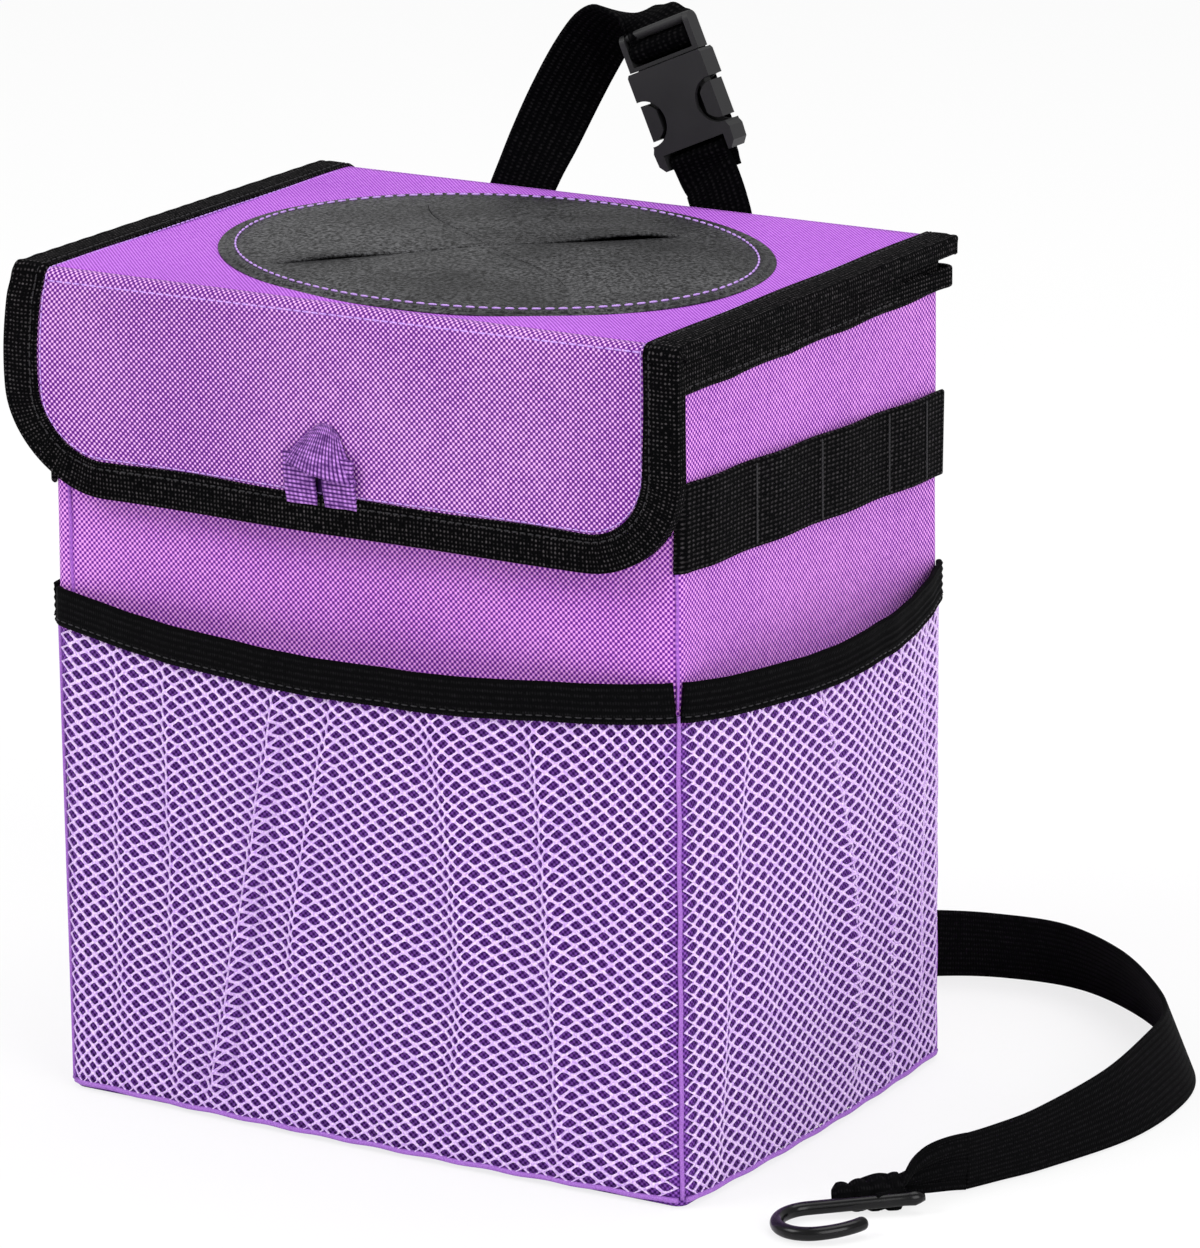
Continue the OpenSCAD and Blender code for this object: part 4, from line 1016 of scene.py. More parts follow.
def petal(k):
    """Fan between slit k and the next one. Rays turn evenly, and their points are spaced by a
    share of the way to the rim. Close to a slit the points draw back by half its width, and the
    springing edge adds a hump that dies away across the petal."""
    rows, cols = 34, 30
    ways = SLIT_ENDS - CROSSING
    turn = np.arctan2(ways[:, 1], ways[:, 0])
    first, last = turn[k], turn[(k + 1) % 4]
    last = last + 2 * math.pi * (last < first)
    c = np.linspace(0, 1, cols)[None]
    share = np.concatenate([np.linspace(0, 0.93, rows - 7), np.linspace(0.945, 1, 7)])[:, None]
    angle = first * (1 - c) + last * c + 0 * share
    bend = np.radians(5) * np.sin(np.clip(share / 0.75, 0, 1) * math.pi)
    angle = angle + bend * (1 - c if k % 2 else c)
    way = np.stack([np.cos(angle), np.sin(angle)], -1)
    far = reach(way)
    flat = CROSSING + way * (far * share)[..., None]
    side = np.stack([-np.sin(angle), np.cos(angle)], -1)
    lift = 0 * angle
    for edge, sign in ((k, 1), ((k + 1) % 4, -1)):
        spot = c if sign > 0 else 1 - c
        end = np.linalg.norm(ways[edge]) / reach(unit(ways[edge]))
        along = np.clip(share / end, 0, 1)
        away = spot * far * share * abs(last - first)
        wide = 0.3 if edge in (0, 2) else 0.22
        drawn = sign * wide * (1 - along ** 4) * np.exp(-(away / 2.5) ** 2)
        flat = flat + side * drawn[..., None]
        if (k, edge) in SPRINGS:
            high, start, skew, across = SPRINGS[k, edge]
            lens = np.sin(math.pi * np.clip((along - start) / (1 - start), 0, 1) ** skew)
            lift = lift + high * lens * np.exp(-(away / across) ** 2)
    dome = np.sin(math.pi * c) * np.sin(math.pi * np.clip(share / 0.93, 0, 1))
    crown = 1.1 * (1 - share ** 2) + 0.7 * dome
    groove = -0.3 * np.exp(-(((1 - share) * far - SEW_IN) / 0.9) ** 2)
    drop = -1.0 * np.clip(1 - (1 - share) * far / 1.1, 0, 1) ** 2
    z = PETAL_Z + crown * np.clip((1 - share) * 6, 0, 1) + groove + drop
    z = z + lift * np.clip((0.97 - share) * 9, 0, 1)
    return np.concatenate([flat, z[..., None]], -1), grid_faces(rows, cols)[:, ::-1]


grids, faces = zip(*(petal(k) for k in range(4)))
faces = np.vstack([part + k * grids[0].size // 3 for k, part in enumerate(faces)])
points, faces = weld(np.concatenate(grids).reshape(-1, 3), faces)
leather = thicken(make_mesh("leather_petals", points, faces, points[:, :2] * MM), 1.0)
settle(leather, LEATHER, "lid", "grained_leather", "leather_insert")


def oval_band(name, a, b, profile):
    """Band round the oval: a profile of outward distance and height, carried round it."""
    spot = oval_at(np.linspace(0, 2 * math.pi, 200, endpoint=False), a, b)
    way = np.roll(spot, -1, 0) - np.roll(spot, 1, 0)
    out = unit(np.stack([way[:, 1], -way[:, 0]], 1))
    grid = band([spot + out * o for o, _ in profile], [z for _, z in profile])
    return make_mesh(name, grid, grid_faces(*grid.shape[:2], loop_cols=True))


backing = oval_band("leather_backing", OVAL_A, OVAL_B, [(0.9, 249.7), (1.5, 249.85), (1.7, 250.1),
                                                        (1.5, 250.4), (0.9, 250.5), (-4, 250.4)])
settle(backing, LEATHER, "lid", "grained_leather")

sewn = oval_at(np.linspace(0, 2 * math.pi, 260), OVAL_A - SEW_IN, OVAL_B - SEW_IN)
settle(stitch_row("oval_stitches", xyz(*sewn.T, PETAL_Z - 0.15), UP, 3.7, 2.7, 0.34, 0.22),
       LILAC_THREAD, "lid", "grained_leather")

# %% [markdown]
# The net pockets take the most work after the leather. The real net is knitted, so its holes are
# rounded rhombs in staggered rows, and it falls in pleats because it is cut wider than the wall.
# Here each pocket is a lattice of corner points with a ring of eight points inside every rhomb.
# The faces between the two are the threads. Pleats push the lattice out and squeeze it sideways.

# %% Pocket surface
NET_OFF = 0.3


def belly(u, width):
    """1 in the middle of a pocket and 0 at both ends: a parabola."""
    return 1 - (2 * u / width) ** 2


def sag(swell, width):
    """How far a mouth hangs down: 5 mm in the middle of the front, and less on a narrow wall."""
    return width / (2 * HALF_W) * 5 * swell


def pleat_line(t, foot, middle, mouth):
    """Place of a pleat at a height: the parabola through its foot, middle and mouth."""
    return foot * (1 - t) * (1 - 2 * t) + middle * 4 * t * (1 - t) + mouth * t * (2 * t - 1)


def pocket_point(u, t, width, pleats):
    """Point of a pocket at u across and t up. The stand-off grows from the foot to the mouth and
    from the ends to the middle. A wide net leans: its rows slide with height. Each pleat adds a
    ridge and pulls near points towards its line."""
    u = u + 0.1 * width * (t - 0.5) * (1 - (2 * u / width) ** 4) * (width > 180)
    swell = belly(u, width)
    ripple = 0.5 * (1 - np.cos(u / 4.4 + 2 * t)) * 4 * t * (1 - t) * swell
    stand = 0.3 + (3 + 9 * t) * swell + ripple
    calm = np.clip(t / 0.08, 0, 1) * np.clip((1.02 - t) / 0.1, 0, 1) * np.clip(swell * 5, 0, 1)
    shift, ridge = 0 * u, 0 * u
    for foot, middle, mouth, high, wide, squeeze, low_end in pleats:
        d = u - pleat_line(t, foot, middle, mouth)
        fade = smooth_step((t - low_end) / 0.15)
        trough = 0.5 * np.exp(-((d - 2.2 * wide) / (1.8 * wide)) ** 2)
        ridge = ridge + fade * high * (np.exp(-(d / wide) ** 2) - trough)
        shift = shift - fade * squeeze * d * np.exp(-(d / (2.6 * wide)) ** 2)
    wobble = 0.5 * np.sin(u / 6.1 + 5 * t) * np.sin(9 * t + u / 17)
    stand = stand + calm * (ridge + wobble) * np.clip(stand / 3, 0, 1) + NET_OFF
    z = NET_FOOT + (NET_TOP + 1.5 - sag(swell, width) - NET_FOOT) * t
    return xyz(u + calm * shift, np.maximum(stand, 0.35 + NET_OFF), z)


def corner_drop(u, half):
    """How far the bin's round corner falls back behind the plane of the wall: zero on the flat and
    an arc of the corner's radius past its start."""
    past = np.clip(np.abs(u) - half + CORNER_R, 0, CORNER_R)
    return CORNER_R - np.sqrt(CORNER_R ** 2 - past ** 2)


def on_wall(p, half, place):
    """Points of a pocket set on a wall: its stand-off less the drop of the corner."""
    stand = p[..., 1] - corner_drop(p[..., 0], half)
    return np.stack(place(p[..., 0], stand) + (p[..., 2],), -1)


WALLS = {
    "front": lambda p: on_wall(p, HALF_W, lambda u, s: (u, -HALF_D - s)),
    "left": lambda p: on_wall(p, HALF_D, lambda u, s: (-HALF_W - s, -u)),
    "right": lambda p: on_wall(p, HALF_D, lambda u, s: (HALF_W + s, u)),
}
FRONT_PLEATS = [(-64.2, -62.0, -60.6, 2.2, 2.6, 0.5, -0.2), (-53, -35.5, -19, 3.8, 2.0, 0.6, -0.1),
                (-26, -17.4, 1.0, 2.2, 2.4, 0.6, 0.3), (67, 67, 63, 2.8, 3.0, 0.5, -0.2),
                (28, 38, 30, 1.8, 4.6, 0.4, 0.1), (-84, -82, -78, 1.2, 3.0, 0.4, 0.1)]
SIDE_PLEATS = [(14, 6, -21, 3.0, 2.6, 0.6, 0.05), (38, 34, 30, 2.4, 2.4, 0.55, -0.2),
               (-60, -56, -50, 1.2, 3.0, 0.45, -0.2), (58, 57, 55, 0.9, 2.6, 0.4, 0.0)]
FRONT_SPAN, SIDE_SPAN = 2 * HALF_W - 2.2, 2 * HALF_D - 2.2
POCKETS = (("front", FRONT_SPAN, 38, FRONT_PLEATS), ("right", SIDE_SPAN, 27, SIDE_PLEATS),
           ("left", SIDE_SPAN, 27, SIDE_PLEATS))


def pocket_net(wall, width, across, pleats):
    """Lattice of across by 34 rhombs on the wall. Corner points have an even sum of half steps and
    holes an odd one. Ring points lie 79 hundredths of the way out to a blend of two corners."""
    up = 34
    a, b = np.meshgrid(np.arange(2 * across + 1), np.arange(2 * up + 1), indexing="ij")
    u, t = (width - 0.6) * (a / (2 * across) - 0.5), b / (2 * up)
    corners = pocket_point(u, t, width, pleats).reshape(-1, 3)
    inside = ((a + b) % 2 == 1) & (a > 0) & (a < 2 * across) & (b > 0) & (b < 2 * up)
    ha, hb = a[inside], b[inside]
    cols = 2 * up + 1
    step = np.array([[-1, 0], [0, 1], [1, 0], [0, -1]])
    at = np.stack([(ha + da) * cols + hb + db for da, db in step], 1)
    centre = corners[ha * cols + hb]
    rings = []
    for k in range(4):
        for share in (0.17, 0.83):
            rim = corners[at[:, k]] * (1 - share) + corners[at[:, (k + 1) % 4]] * share
            rings.append(centre + 0.79 * (rim - centre))
    ring = np.stack(rings, 1)
    first = len(corners) + 8 * np.arange(len(ha))[:, None] + np.arange(8)[None]
    quads = [np.stack([at[:, k], at[:, (k + 1) % 4], first[:, 2 * k + 1], first[:, 2 * k]], 1)
             for k in range(4)]
    tips = [np.stack([at[:, k], first[:, 2 * k], first[:, (2 * k + 7) % 8]], 1) for k in range(4)]
    points = np.vstack([corners, ring.reshape(-1, 3)])
    used = np.zeros(len(points), bool)
    for block in quads + tips:
        used[block.ravel()] = True
    number = np.cumsum(used) - 1
    order = 1 if wall == "front" else -1
    faces = [number[face][::order] for block in quads + tips for face in block]
    return make_mesh(wall + "_net", WALLS[wall](points)[used], faces)


for wall, width, across, pleats in POCKETS:
    net = thicken(pocket_net(wall, width, across, pleats), 0.55, 0.0)
    settle(net, NET, "bin", "lilac_net", wall + "_pocket_net")

# %% [markdown]
# Each mouth is gathered by an elastic band. It is sewn on while stretched, so it pulls in again
# and ripples a little. Its face has long ridges, because the rubber cords inside push the yarn up.

# %% Elastic bands
def ridged_section(height, thickness, ridges, depth):
    """Closed outline of the band: a ridged front, a flat back and round edges between them. The
    ridges are a sine of the place across."""
    x = np.linspace(-height / 2 + 0.5, height / 2 - 0.5, 34)
    fade = np.clip((height / 2 - 0.4 - np.abs(x)) / 0.8, 0, 1)
    face = thickness / 2 - depth * fade * (0.5 + 0.5 * np.cos(2 * math.pi * ridges * x / height))
    front = np.stack([x[::-1], face[::-1]], 1)
    r, turn = thickness / 2, np.radians([60, 20, -20, -60])
    left = np.stack([-height / 2 + 0.5 - 0.5 * np.cos(turn), r * np.sin(turn)], 1)
    back = np.stack([x[::4], np.full(len(x[::4]), -r)], 1)
    right = np.stack([height / 2 - 0.5 + 0.5 * np.cos(turn[::-1]), r * np.sin(turn[::-1])], 1)
    return np.vstack([front, left, back, right])


def elastic_band(wall, width):
    """Band along the mouth: the section stands upright and follows the mouth's bow and sag. On the
    front the path runs the other way round the bin, so its section and faces are turned."""
    u = np.linspace(-(width - 0.4) / 2, (width - 0.4) / 2, int(width / 1.6))
    swell = belly(u, width)
    stand = NET_OFF + 12 * swell + ELASTIC_T / 2
    stand = stand + 0.22 * np.sin(u / 3.3) * np.sin(u / 14) * np.clip(swell * 4, 0, 1)
    z = NET_TOP + 0.2 - sag(swell, width) + ELASTIC_H / 2 + 0.15 * np.sin(u / 8)
    path, front = WALLS[wall](xyz(u, stand, z)), wall == "front"
    section = ridged_section(ELASTIC_H, ELASTIC_T, 5, 0.35)
    made = closed_strap(wall + "_elastic", path, UP, section, [1, -1 if front else 1], front)
    return made, path


for wall, width, _, _ in POCKETS:
    made, path = elastic_band(wall, width)
    settle(made, ELASTIC, "bin", "black_elastic", wall + "_pocket_elastic")
    out = unit(np.cross(headings(path), UP))
    out = out * np.sign(np.sum(out * path * [1, 1, 0], 1))[:, None]
    line = path + out * (ELASTIC_T / 2) + [0, 0, -3.9]
    settle(stitch_row(wall + "_elastic_stitches", line, out, 3.0, 2.1, 0.22, 0.0), BLACK_THREAD,
           "bin", "black_elastic")

# %% [markdown]
# Front and side nets meet at the upright corners in a narrow rolled seam, and their feet are sewn
# in with the base. Each seam is a thin tube carried along its line.

# %% Seams of the net
NET_SEAM = plain_thread("net_seam_thread", colour(116, 60, 160), colour(190, 134, 222))
seam_z = np.linspace(2.6, NET_TOP + 2, 50)
wave = 0.2 * np.sin(seam_z / 4.2)


def net_foot(label, half, span, steps, place):
    """Tube along the foot of a net, which follows the net's bow and the round corners."""
    u = np.linspace(1.6 - half, half - 1.6, steps)
    away = 0.6 + 3 * belly(u, span) - corner_drop(u, half)
    low = xyz(*place(u, away), 2.3 + 0.2 * np.sin(u / 3))
    settle(tube("net_foot_" + label, low, 0.8), NET_SEAM, "bin", "lilac_net")


for side, label in SIDES:
    for y, where in ((-74.2, "front"), (74.2, "rear")):
        line = xyz(side * (104.2 + wave * 0.4), y + wave * 0.5, seam_z)
        settle(tube(f"net_seam_{where}_{label}", line, 0.65), NET_SEAM, "bin", "lilac_net")
    net_foot(label, HALF_D, SIDE_SPAN, 60, lambda u, away: (side * (HALF_W + away), u))
net_foot("front", HALF_W, FRONT_SPAN, 80, lambda u, away: (u, -HALF_D - away))

# %% [markdown]
# A band of ribbed webbing lies on each side under the rim. It is tacked down every 38 mm, so it
# stands off in low loops that hold tissues or cables, and its front end turns the corner under the
# flap. The line of the band is a squared sine between the tacks.

# %% Side webbing
WEBBING_W, WEBBING_T = 25.4, 1.5
TACK_STEP, WALL_STEPS = 38, 150


def webbing_line():
    """Middle of the band in plan for the right side: loops along the wall, then the start of the
    round corner, where a seam takes it in. It lies half its own thickness off the cloth."""
    back, front = 74.0, CORNER_R - HALF_D
    y = np.linspace(back, front, WALL_STEPS)
    rise = np.sin(np.pi * (back - y) / TACK_STEP) ** 2 * smooth_step((y - front) / 12)
    wall = np.stack([HALF_W + 0.1 + rise + 0.8, y], 1)
    a = np.radians(np.linspace(0, -55, 8))[1:]
    r = CORNER_R + 0.9
    corner = np.stack([HALF_W - CORNER_R + r * np.cos(a), front + r * np.sin(a)], 1)
    return np.vstack([wall, corner])


def webbing_band(side, name):
    """The band's section carried along its line, sloping down 5 mm from front to back as sewn, and
    a bar of stitches at each tack."""
    plan = webbing_line()
    drop = 2.4 - 5.2 * (plan[:, 1] + HALF_D) / (2 * HALF_D)
    path = xyz(side * plan[:, 0], plan[:, 1], 195 + drop)
    made = strap_piece(name + "_band", path, UP, WEBBING_W, WEBBING_T, 4, 26)
    settle(made, SIDE_WEBBING, "bin", "black_webbing", name)
    for k, y in enumerate((-35.0, 2.0, 41.0, 62.0)):
        spot = path[np.argmin(np.abs(path[:WALL_STEPS, 1] - y))]
        z = np.linspace(-11.0, 11.0, 30)[::1 if k % 2 else -1] + spot[2]
        line = xyz(spot[0] + side * WEBBING_T / 2, spot[1], z)
        row = stitch_row(f"{name}_tack_{k}", line, [side, 0, 0], 1.15, 2.6, 0.33, 0.05)
        settle(row, BLACK_THREAD, "bin", "black_webbing")


for side, label in SIDES:
    webbing_band(side, "side_webbing_" + label)
    short = xyz(side * np.linspace(92, 103.2, 8), -75.95, 206.0)
    end = strap_piece("webbing_end_" + label, short, UP, 21.0, 1.4, 4, 12)
    settle(end, SIDE_WEBBING, "bin", "black_webbing")

# %% [markdown]
# The flap is lifted by a ribbon tab. The ribbon is folded in half, its two ends are sewn under the
# tape and its turn stands out over them like a small hood. The hood is a half circle that leans
# forward, and the ends are two short flat strips in its shade. A dark violet strip between the ends
# is painted shadow under the hood.

# %% Pull tab
TAB_X, TAB_FOOT, TAB_H, TAB_W = -5.0, 195.9, 20.5, 24.0


def tab_hood():
    """Strip from a narrow top edge down to a wide lower edge. In between, a quarter wave carries
    its middle away from the flap, and its two sides stay on the cloth."""
    c = np.linspace(-1, 1, 40)[:, None]
    v = np.linspace(0, 1, 18)[None]
    high, low = TAB_H * (1.0 - 0.12 * c ** 2), TAB_H * (0.33 - 0.12 * c)
    x = TAB_X + (1 - v) * (1.0 + 4.6 * c) + v * (TAB_W / 2 + 0.3) * c
    z = TAB_FOOT + high + (low - high) * v ** 1.1
    stand = 5.2 * np.clip(1 - c ** 2, 0, 1) ** 0.6 * np.sin(v * math.pi / 2)
    y = FLAP_FACE - 0.5 + flap_bulge(x, z) - stand
    grid = xyz(x, y - 0.5 * v, z)
    return make_mesh("tab_hood", grid, grid_faces(*grid.shape[:2]), map_of(12 * c, 18 * v))


def tab_end(side, label):
    """Flat strip from the tape up under the hood. It bows forward in its middle."""
    x = np.linspace(-5.2, 5.2, 12)[None] + TAB_X + side * 6.5
    z = np.linspace(-3.6, 11.5, 16)[:, None] + TAB_FOOT
    bow = 2.0 * np.sin(np.pi * np.clip((z - TAB_FOOT + 3.6) / 26, 0, 1))
    grid = xyz(x, FLAP_FACE - 0.4 + flap_bulge(x, z) - bow, z)
    return make_mesh("tab_end_" + label, grid, grid_faces(*grid.shape[:2]), map_of(z, x))


settle(thicken(tab_hood(), 1.0), RIBBON, "flap", "violet_ribbon", "pull_tab")
# Painted shadow: a thin dark violet strip on the flap between the ribbon's ends, where the hood
# casts its shade.
inside = xyz(np.array([[-2.4, 2.4]]) + TAB_X, FLAP_FACE - 0.25 + flap_bulge(TAB_X, TAB_FOOT),
             np.array([[-3.0], [12.0]]) + TAB_FOOT)
inside = thicken(make_mesh("tab_painted_shadow", inside, grid_faces(2, 2)), 0.3)
shade = plain_thread("ribbon_shade", colour(34, 8, 56), colour(60, 22, 92))
settle(inside, shade, "flap", "violet_ribbon")
for side, label in SIDES:
    settle(thicken(tab_end(side, label), 1.0, 0.0), RIBBON, "flap", "violet_ribbon")

# %% [markdown]
# Under the flap a patch of hooks meets a patch of loops. Both are low pads with soft edges, sewn on
# round their border. A pad is a grid whose height is full in the middle and falls to nothing over
# the last millimetre.

# %% Closure patches
PATCH_HALF_W, PATCH_FOOT, PATCH_TOP = 45, 197.5, 217.5


def pile_patch(name, y, sign, body, node, thick):
    """Pad on a plane facing forward or back: its height is the smooth step of the distance to the
    nearest edge."""
    x = np.linspace(-PATCH_HALF_W, PATCH_HALF_W, 90)[None]
    z = np.linspace(PATCH_FOOT, PATCH_TOP, 24)[:, None]
    near = np.minimum(PATCH_HALF_W - np.abs(x), np.minimum(z - PATCH_FOOT, PATCH_TOP - z))
    high = thick * (0.25 + 0.75 * smooth_step(near / 1.3))
    grid = xyz(x, y + sign * high, z)
    faces = grid_faces(*grid.shape[:2])
    made = make_mesh(name, grid, faces if sign < 0 else faces[:, ::-1])
    settle(thicken(made, thick * 0.4), PILE, body, "hook_and_loop", node)


pile_patch("loop_pad", -75.4, -1, "bin", "front_loop_patch", 1.8)
pile_patch("hook_pad", -80.4, 1, "flap", "flap_hook_patch", 2.4)

# %% [markdown]
# At the two back corners the tape of the rim is folded over itself, so it stands out a little. The
# fold is one more short strip that goes round the corner in plan, on edge.

# %% Folded tape at the back corners
RIM_FOLD = [[105.2, 40], [106.3, 58], [107.4, 70], [107.8, 75.4], [105, 77.7], [98, 77.0],
            [84, 75.4]]
fold_x, fold_y = through(RIM_FOLD, 6).T
for side, label in SIDES:
    turn = xyz(side * fold_x, fold_y, 238.5)
    made = strap_piece("rim_corner_" + label, turn, UP, 6.0, 1.3, 4, 10)
    settle(made, TAPE, "bin", "black_tape")

# %% [markdown]
# The headrest strap is one ribbed webbing in two legs. The left leg rises behind the lid, turns
# half round and threads the buckle, and its loose end hangs down behind the buckle. The right leg
# hangs from the lower bar. Each leg is a thin rounded section carried along a curve, with its own
# direction across at every row, so the twist of the strap is part of the shape.

# %% Headrest strap
LEAN = math.radians(23.4)
LEAN_S, LEAN_C = math.sin(LEAN), math.cos(LEAN)
BUCKLE_MID = np.array([11.0, 86.75, 281.9])
TOP_BAR, MID_BAR, LOW_BAR, WRAP_R = -19.8, -14.6, 19.9, 2.4
BUCKLE_ACROSS = np.array([LEAN_C, 0, LEAN_S])


def buckle_point(s, n, w=0.0):
    """Point in the buckle's frame: s down the buckle, n out to the front, w across to the right."""
    return BUCKLE_MID + np.array([s * LEAN_S + w * LEAN_C, -n, -s * LEAN_C + w * LEAN_S])


def round_bar(s, start, stop, steps):
    """Middle line of the strap round a bar, between two angles in degrees."""
    a = np.radians(np.linspace(start, stop, steps))
    return np.array([buckle_point(s - WRAP_R * math.cos(v), WRAP_R * math.sin(v)) for v in a])


def upper_left():
    """Rows of a point and the direction across, first from the foot on the back wall and then
    from the top bar. After the curve through them the strap goes round both bars."""
    foot, top = np.array([0, 75.0, 250.0]), buckle_point(TOP_BAR, -WRAP_R)
    low = [[-47, 0.9, -44, 1, 0, 0], [-46.3, 0.9, -31, 1, 0, -0.06],
           [-45.2, 1.6, -20, 0.99, 0, -0.15],
           [-42.7, 4.6, -7.3, 0.97, 0, -0.24], [-39.6, 9.2, 4.5, 0.96, 0.06, -0.28],
           [-36.9, 13.8, 13.9, 0.9, 0.22, -0.38], [-33.7, 17.8, 23.5, 0.82, 0.37, -0.44],
           [-29.4, 20.5, 33.2, 0.74, 0.48, -0.47], [-24.5, 21.6, 41.5, 0.66, 0.6, -0.45]]
    high = [[-23.3, 7.1, -3.1, 0.59, 0.7, -0.4], [-18.7, 6.0, 0.5, 0.53, 0.79, -0.3],
            [-13.9, 5.4, 1.2, 0.56, 0.8, -0.16], [-9.3, 5.6, 0.4, 0.72, 0.58, 0.0],
            [-4.7, 4.6, -0.8, 0.88, 0.28, 0.22], [-0.9, 1.8, -0.8, 0.91, 0.04, 0.39],
            [0, 0, 0, LEAN_C, 0, LEAN_S]]
    rows = np.vstack([np.array(low) + [*foot, 0, 0, 0], np.array(high) + [*top, 0, 0, 0]])
    rising = through(rows, 6)
    slant = math.degrees(math.asin(2 * WRAP_R / (MID_BAR - TOP_BAR))) - 90
    around = np.vstack([round_bar(TOP_BAR, -120, -180 - slant, 7),
                        round_bar(MID_BAR, -slant, 260, 22)])
    path = np.vstack([rising[:, :3], around])
    across = np.vstack([rising[:, 3:], np.tile(BUCKLE_ACROSS, (len(around), 1))])
    return path, across


def upper_right():
    """Short leg: a folded end behind the lower bar, round it, then down to the back wall."""
    start = through([buckle_point(LOW_BAR + 6.5, -1.3), buckle_point(LOW_BAR + 4.5, -1.6),
                     buckle_point(LOW_BAR + 3, -WRAP_R + 0.3)], 5)
    fold = np.vstack([start, round_bar(LOW_BAR, -90, 90, 16)])
    down = through([buckle_point(LOW_BAR, WRAP_R), buckle_point(LOW_BAR + 5, 1.7),
                    [23.4, 83.9, 256], [27, 81.9, 250], [29.6, 80.0, 244], [31, 77.0, 236],
                    [31.5, 75.9, 224], [31.5, 75.9, 206]], 8)[1:]
    turned = unit(np.cross(headings(down), [0, 1, 0]))
    mix = smooth_step(np.arange(len(down)) / 12)[:, None]
    across = unit(BUCKLE_ACROSS * (1 - mix) + turned * mix)
    return np.vstack([fold, down]), np.vstack([np.tile(BUCKLE_ACROSS, (len(fold), 1)), across])


for label, (path, across), width in (("left", upper_left(), 21.0), ("right", upper_right(), 20.6)):
    made = strap_piece("headrest_strap_" + label, path, across, width, 1.4, 4, 22)
    settle(made, WEBBING, "bin", "black_webbing", "upper_strap_" + label)

LOOSE_ROUTE = ((-17.5, -3.6), (-12, -4.8), (0, -5.0), (12, -4.9), (20.5, -4.7))
loose = through([buckle_point(s, n, -2.0) for s, n in LOOSE_ROUTE], 6)
loose_end = strap_piece("headrest_strap_loose_end", loose, BUCKLE_ACROSS, 25.0, 1.3, 4, 22)
settle(loose_end, WEBBING, "bin", "black_webbing")


def box_stitch(label, x):
    """Square of stitches with a cross in it, as it holds the strap to the back wall."""
    turns = np.array([(-1, -1), (1, -1), (1, 1), (-1, 1), (-1, -1), (1, 1)])
    p = xyz(x + 7.5 * turns[:, 0], 76.65, 213 + 5.5 * turns[:, 1])
    path = np.vstack([np.linspace(p[k], p[k + 1], 12)[:-1] for k in range(5)] + [p[5]])
    row = stitch_row("strap_box_stitch_" + label, path, [0, 1, 0], 2.6, 2.0, 0.25, 0.1)
    settle(row, BLACK_THREAD, "bin", "black_webbing")


box_stitch("left", -46.9)
box_stitch("right", 31.5)

# %% [markdown]
# The side-release buckle is moulded in three pieces. Its flat faces and windows are right in the
# solids already, so the solids are copied, their shared corners welded, and their edges rounded by
# a small bevel, which is what a mould leaves. The pressed arms ride their own bodies.

# %% Buckle
def rounded_copy(node, name, body):
    """Copy of a solid with its doubled corners merged, and a bevel of under half a millimetre on
    edges sharper than 35 degrees."""
    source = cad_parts[node].data
    points = np.empty(len(source.vertices) * 3)
    source.vertices.foreach_get("co", points)
    points = points.reshape(-1, 3) / MM
    corners, faces = weld(points, [list(p.vertices) for p in source.polygons])
    made = make_mesh(name, corners, faces, smooth=False)
    bevel = made.modifiers.new("mould_edge", "BEVEL")
    bevel.width, bevel.segments = 0.45 * MM, 2
    bevel.limit_method, bevel.angle_limit = "ANGLE", math.radians(35)
    bevel.harden_normals = False
    settle(made, PLASTIC, body, "buckle_plastic", node)


rounded_copy("buckle_male", "buckle_inner_half", "bin")
rounded_copy("buckle_female", "buckle_housing", "bin")
for _, label in SIDES:
    rounded_copy("latch_" + label, "latch_arm_" + label, label + "_latch")

# %% [markdown]
# The lower strap ends in a hook of thick wire with a soft black coat. The wire is bent by hand or
# on a jig: a straight shank, a half circle and a short return. One tube follows that line. The
# strap's end is pulled through behind the shank and sewn, so it bunches in folds, made as rings.

# %% Hook
HOOK_AT = np.array([163.2, -44.7, 4.6])
HOOK_TURN, HOOK_TILT = math.radians(217.5), math.radians(2.9)
WIRE_R, BEND_R, SHANK, TIP_R, TIP_TURN = 2.0, 10.0, 31.0, 22.0, 36.0


def hook_frame(points):
    """Turns points from the hook's own plane to the floor: x along the shank, y to the bend's
    side, tilted a little about y and then turned about the upright."""
    x, y, z = np.moveaxis(points, -1, 0)
    c, s = math.cos(HOOK_TILT), math.sin(HOOK_TILT)
    x, z = x * c + z * s, z * c - x * s
    c, s = math.cos(HOOK_TURN), math.sin(HOOK_TURN)
    return xyz(x * c - y * s, x * s + y * c, z) + HOOK_AT


def hook_line():
    """Middle line of the wire: shank, half circle of the bend, and the wider arc of the tip. The
    radius shrinks to a round end at both ends."""
    shank = np.stack([np.linspace(-2.2, SHANK, 24), np.zeros(24)], 1)[:-1]
    a = np.radians(np.linspace(-90, 90, 36))
    bend = np.stack([SHANK + BEND_R * np.cos(a), BEND_R + BEND_R * np.sin(a)], 1)
    a = np.radians(90 + np.linspace(0, TIP_TURN, 16)[1:])
    tip = np.stack([SHANK + TIP_R * np.cos(a), 2 * BEND_R - TIP_R + TIP_R * np.sin(a)], 1)
    way = unit(tip[-1] - tip[-2])
    end = tip[-1] + np.array([0.6, 1.1, 1.5, 1.75])[:, None] * way
    flat = np.vstack([shank, bend, tip, end])
    radius = np.full(len(flat), WIRE_R)
    radius[:4] = [1.0, 1.7, 2.2, 2.1]
    radius[-4:] = [1.9, 1.6, 1.1, 0.5]
    return hook_frame(xyz(*flat.T, 0.0)), radius


hook_path, hook_radius = hook_line()
settle(tube("hook_wire", hook_path, hook_radius, 24), WIRE, "bin", "coated_wire", "strap_hook")

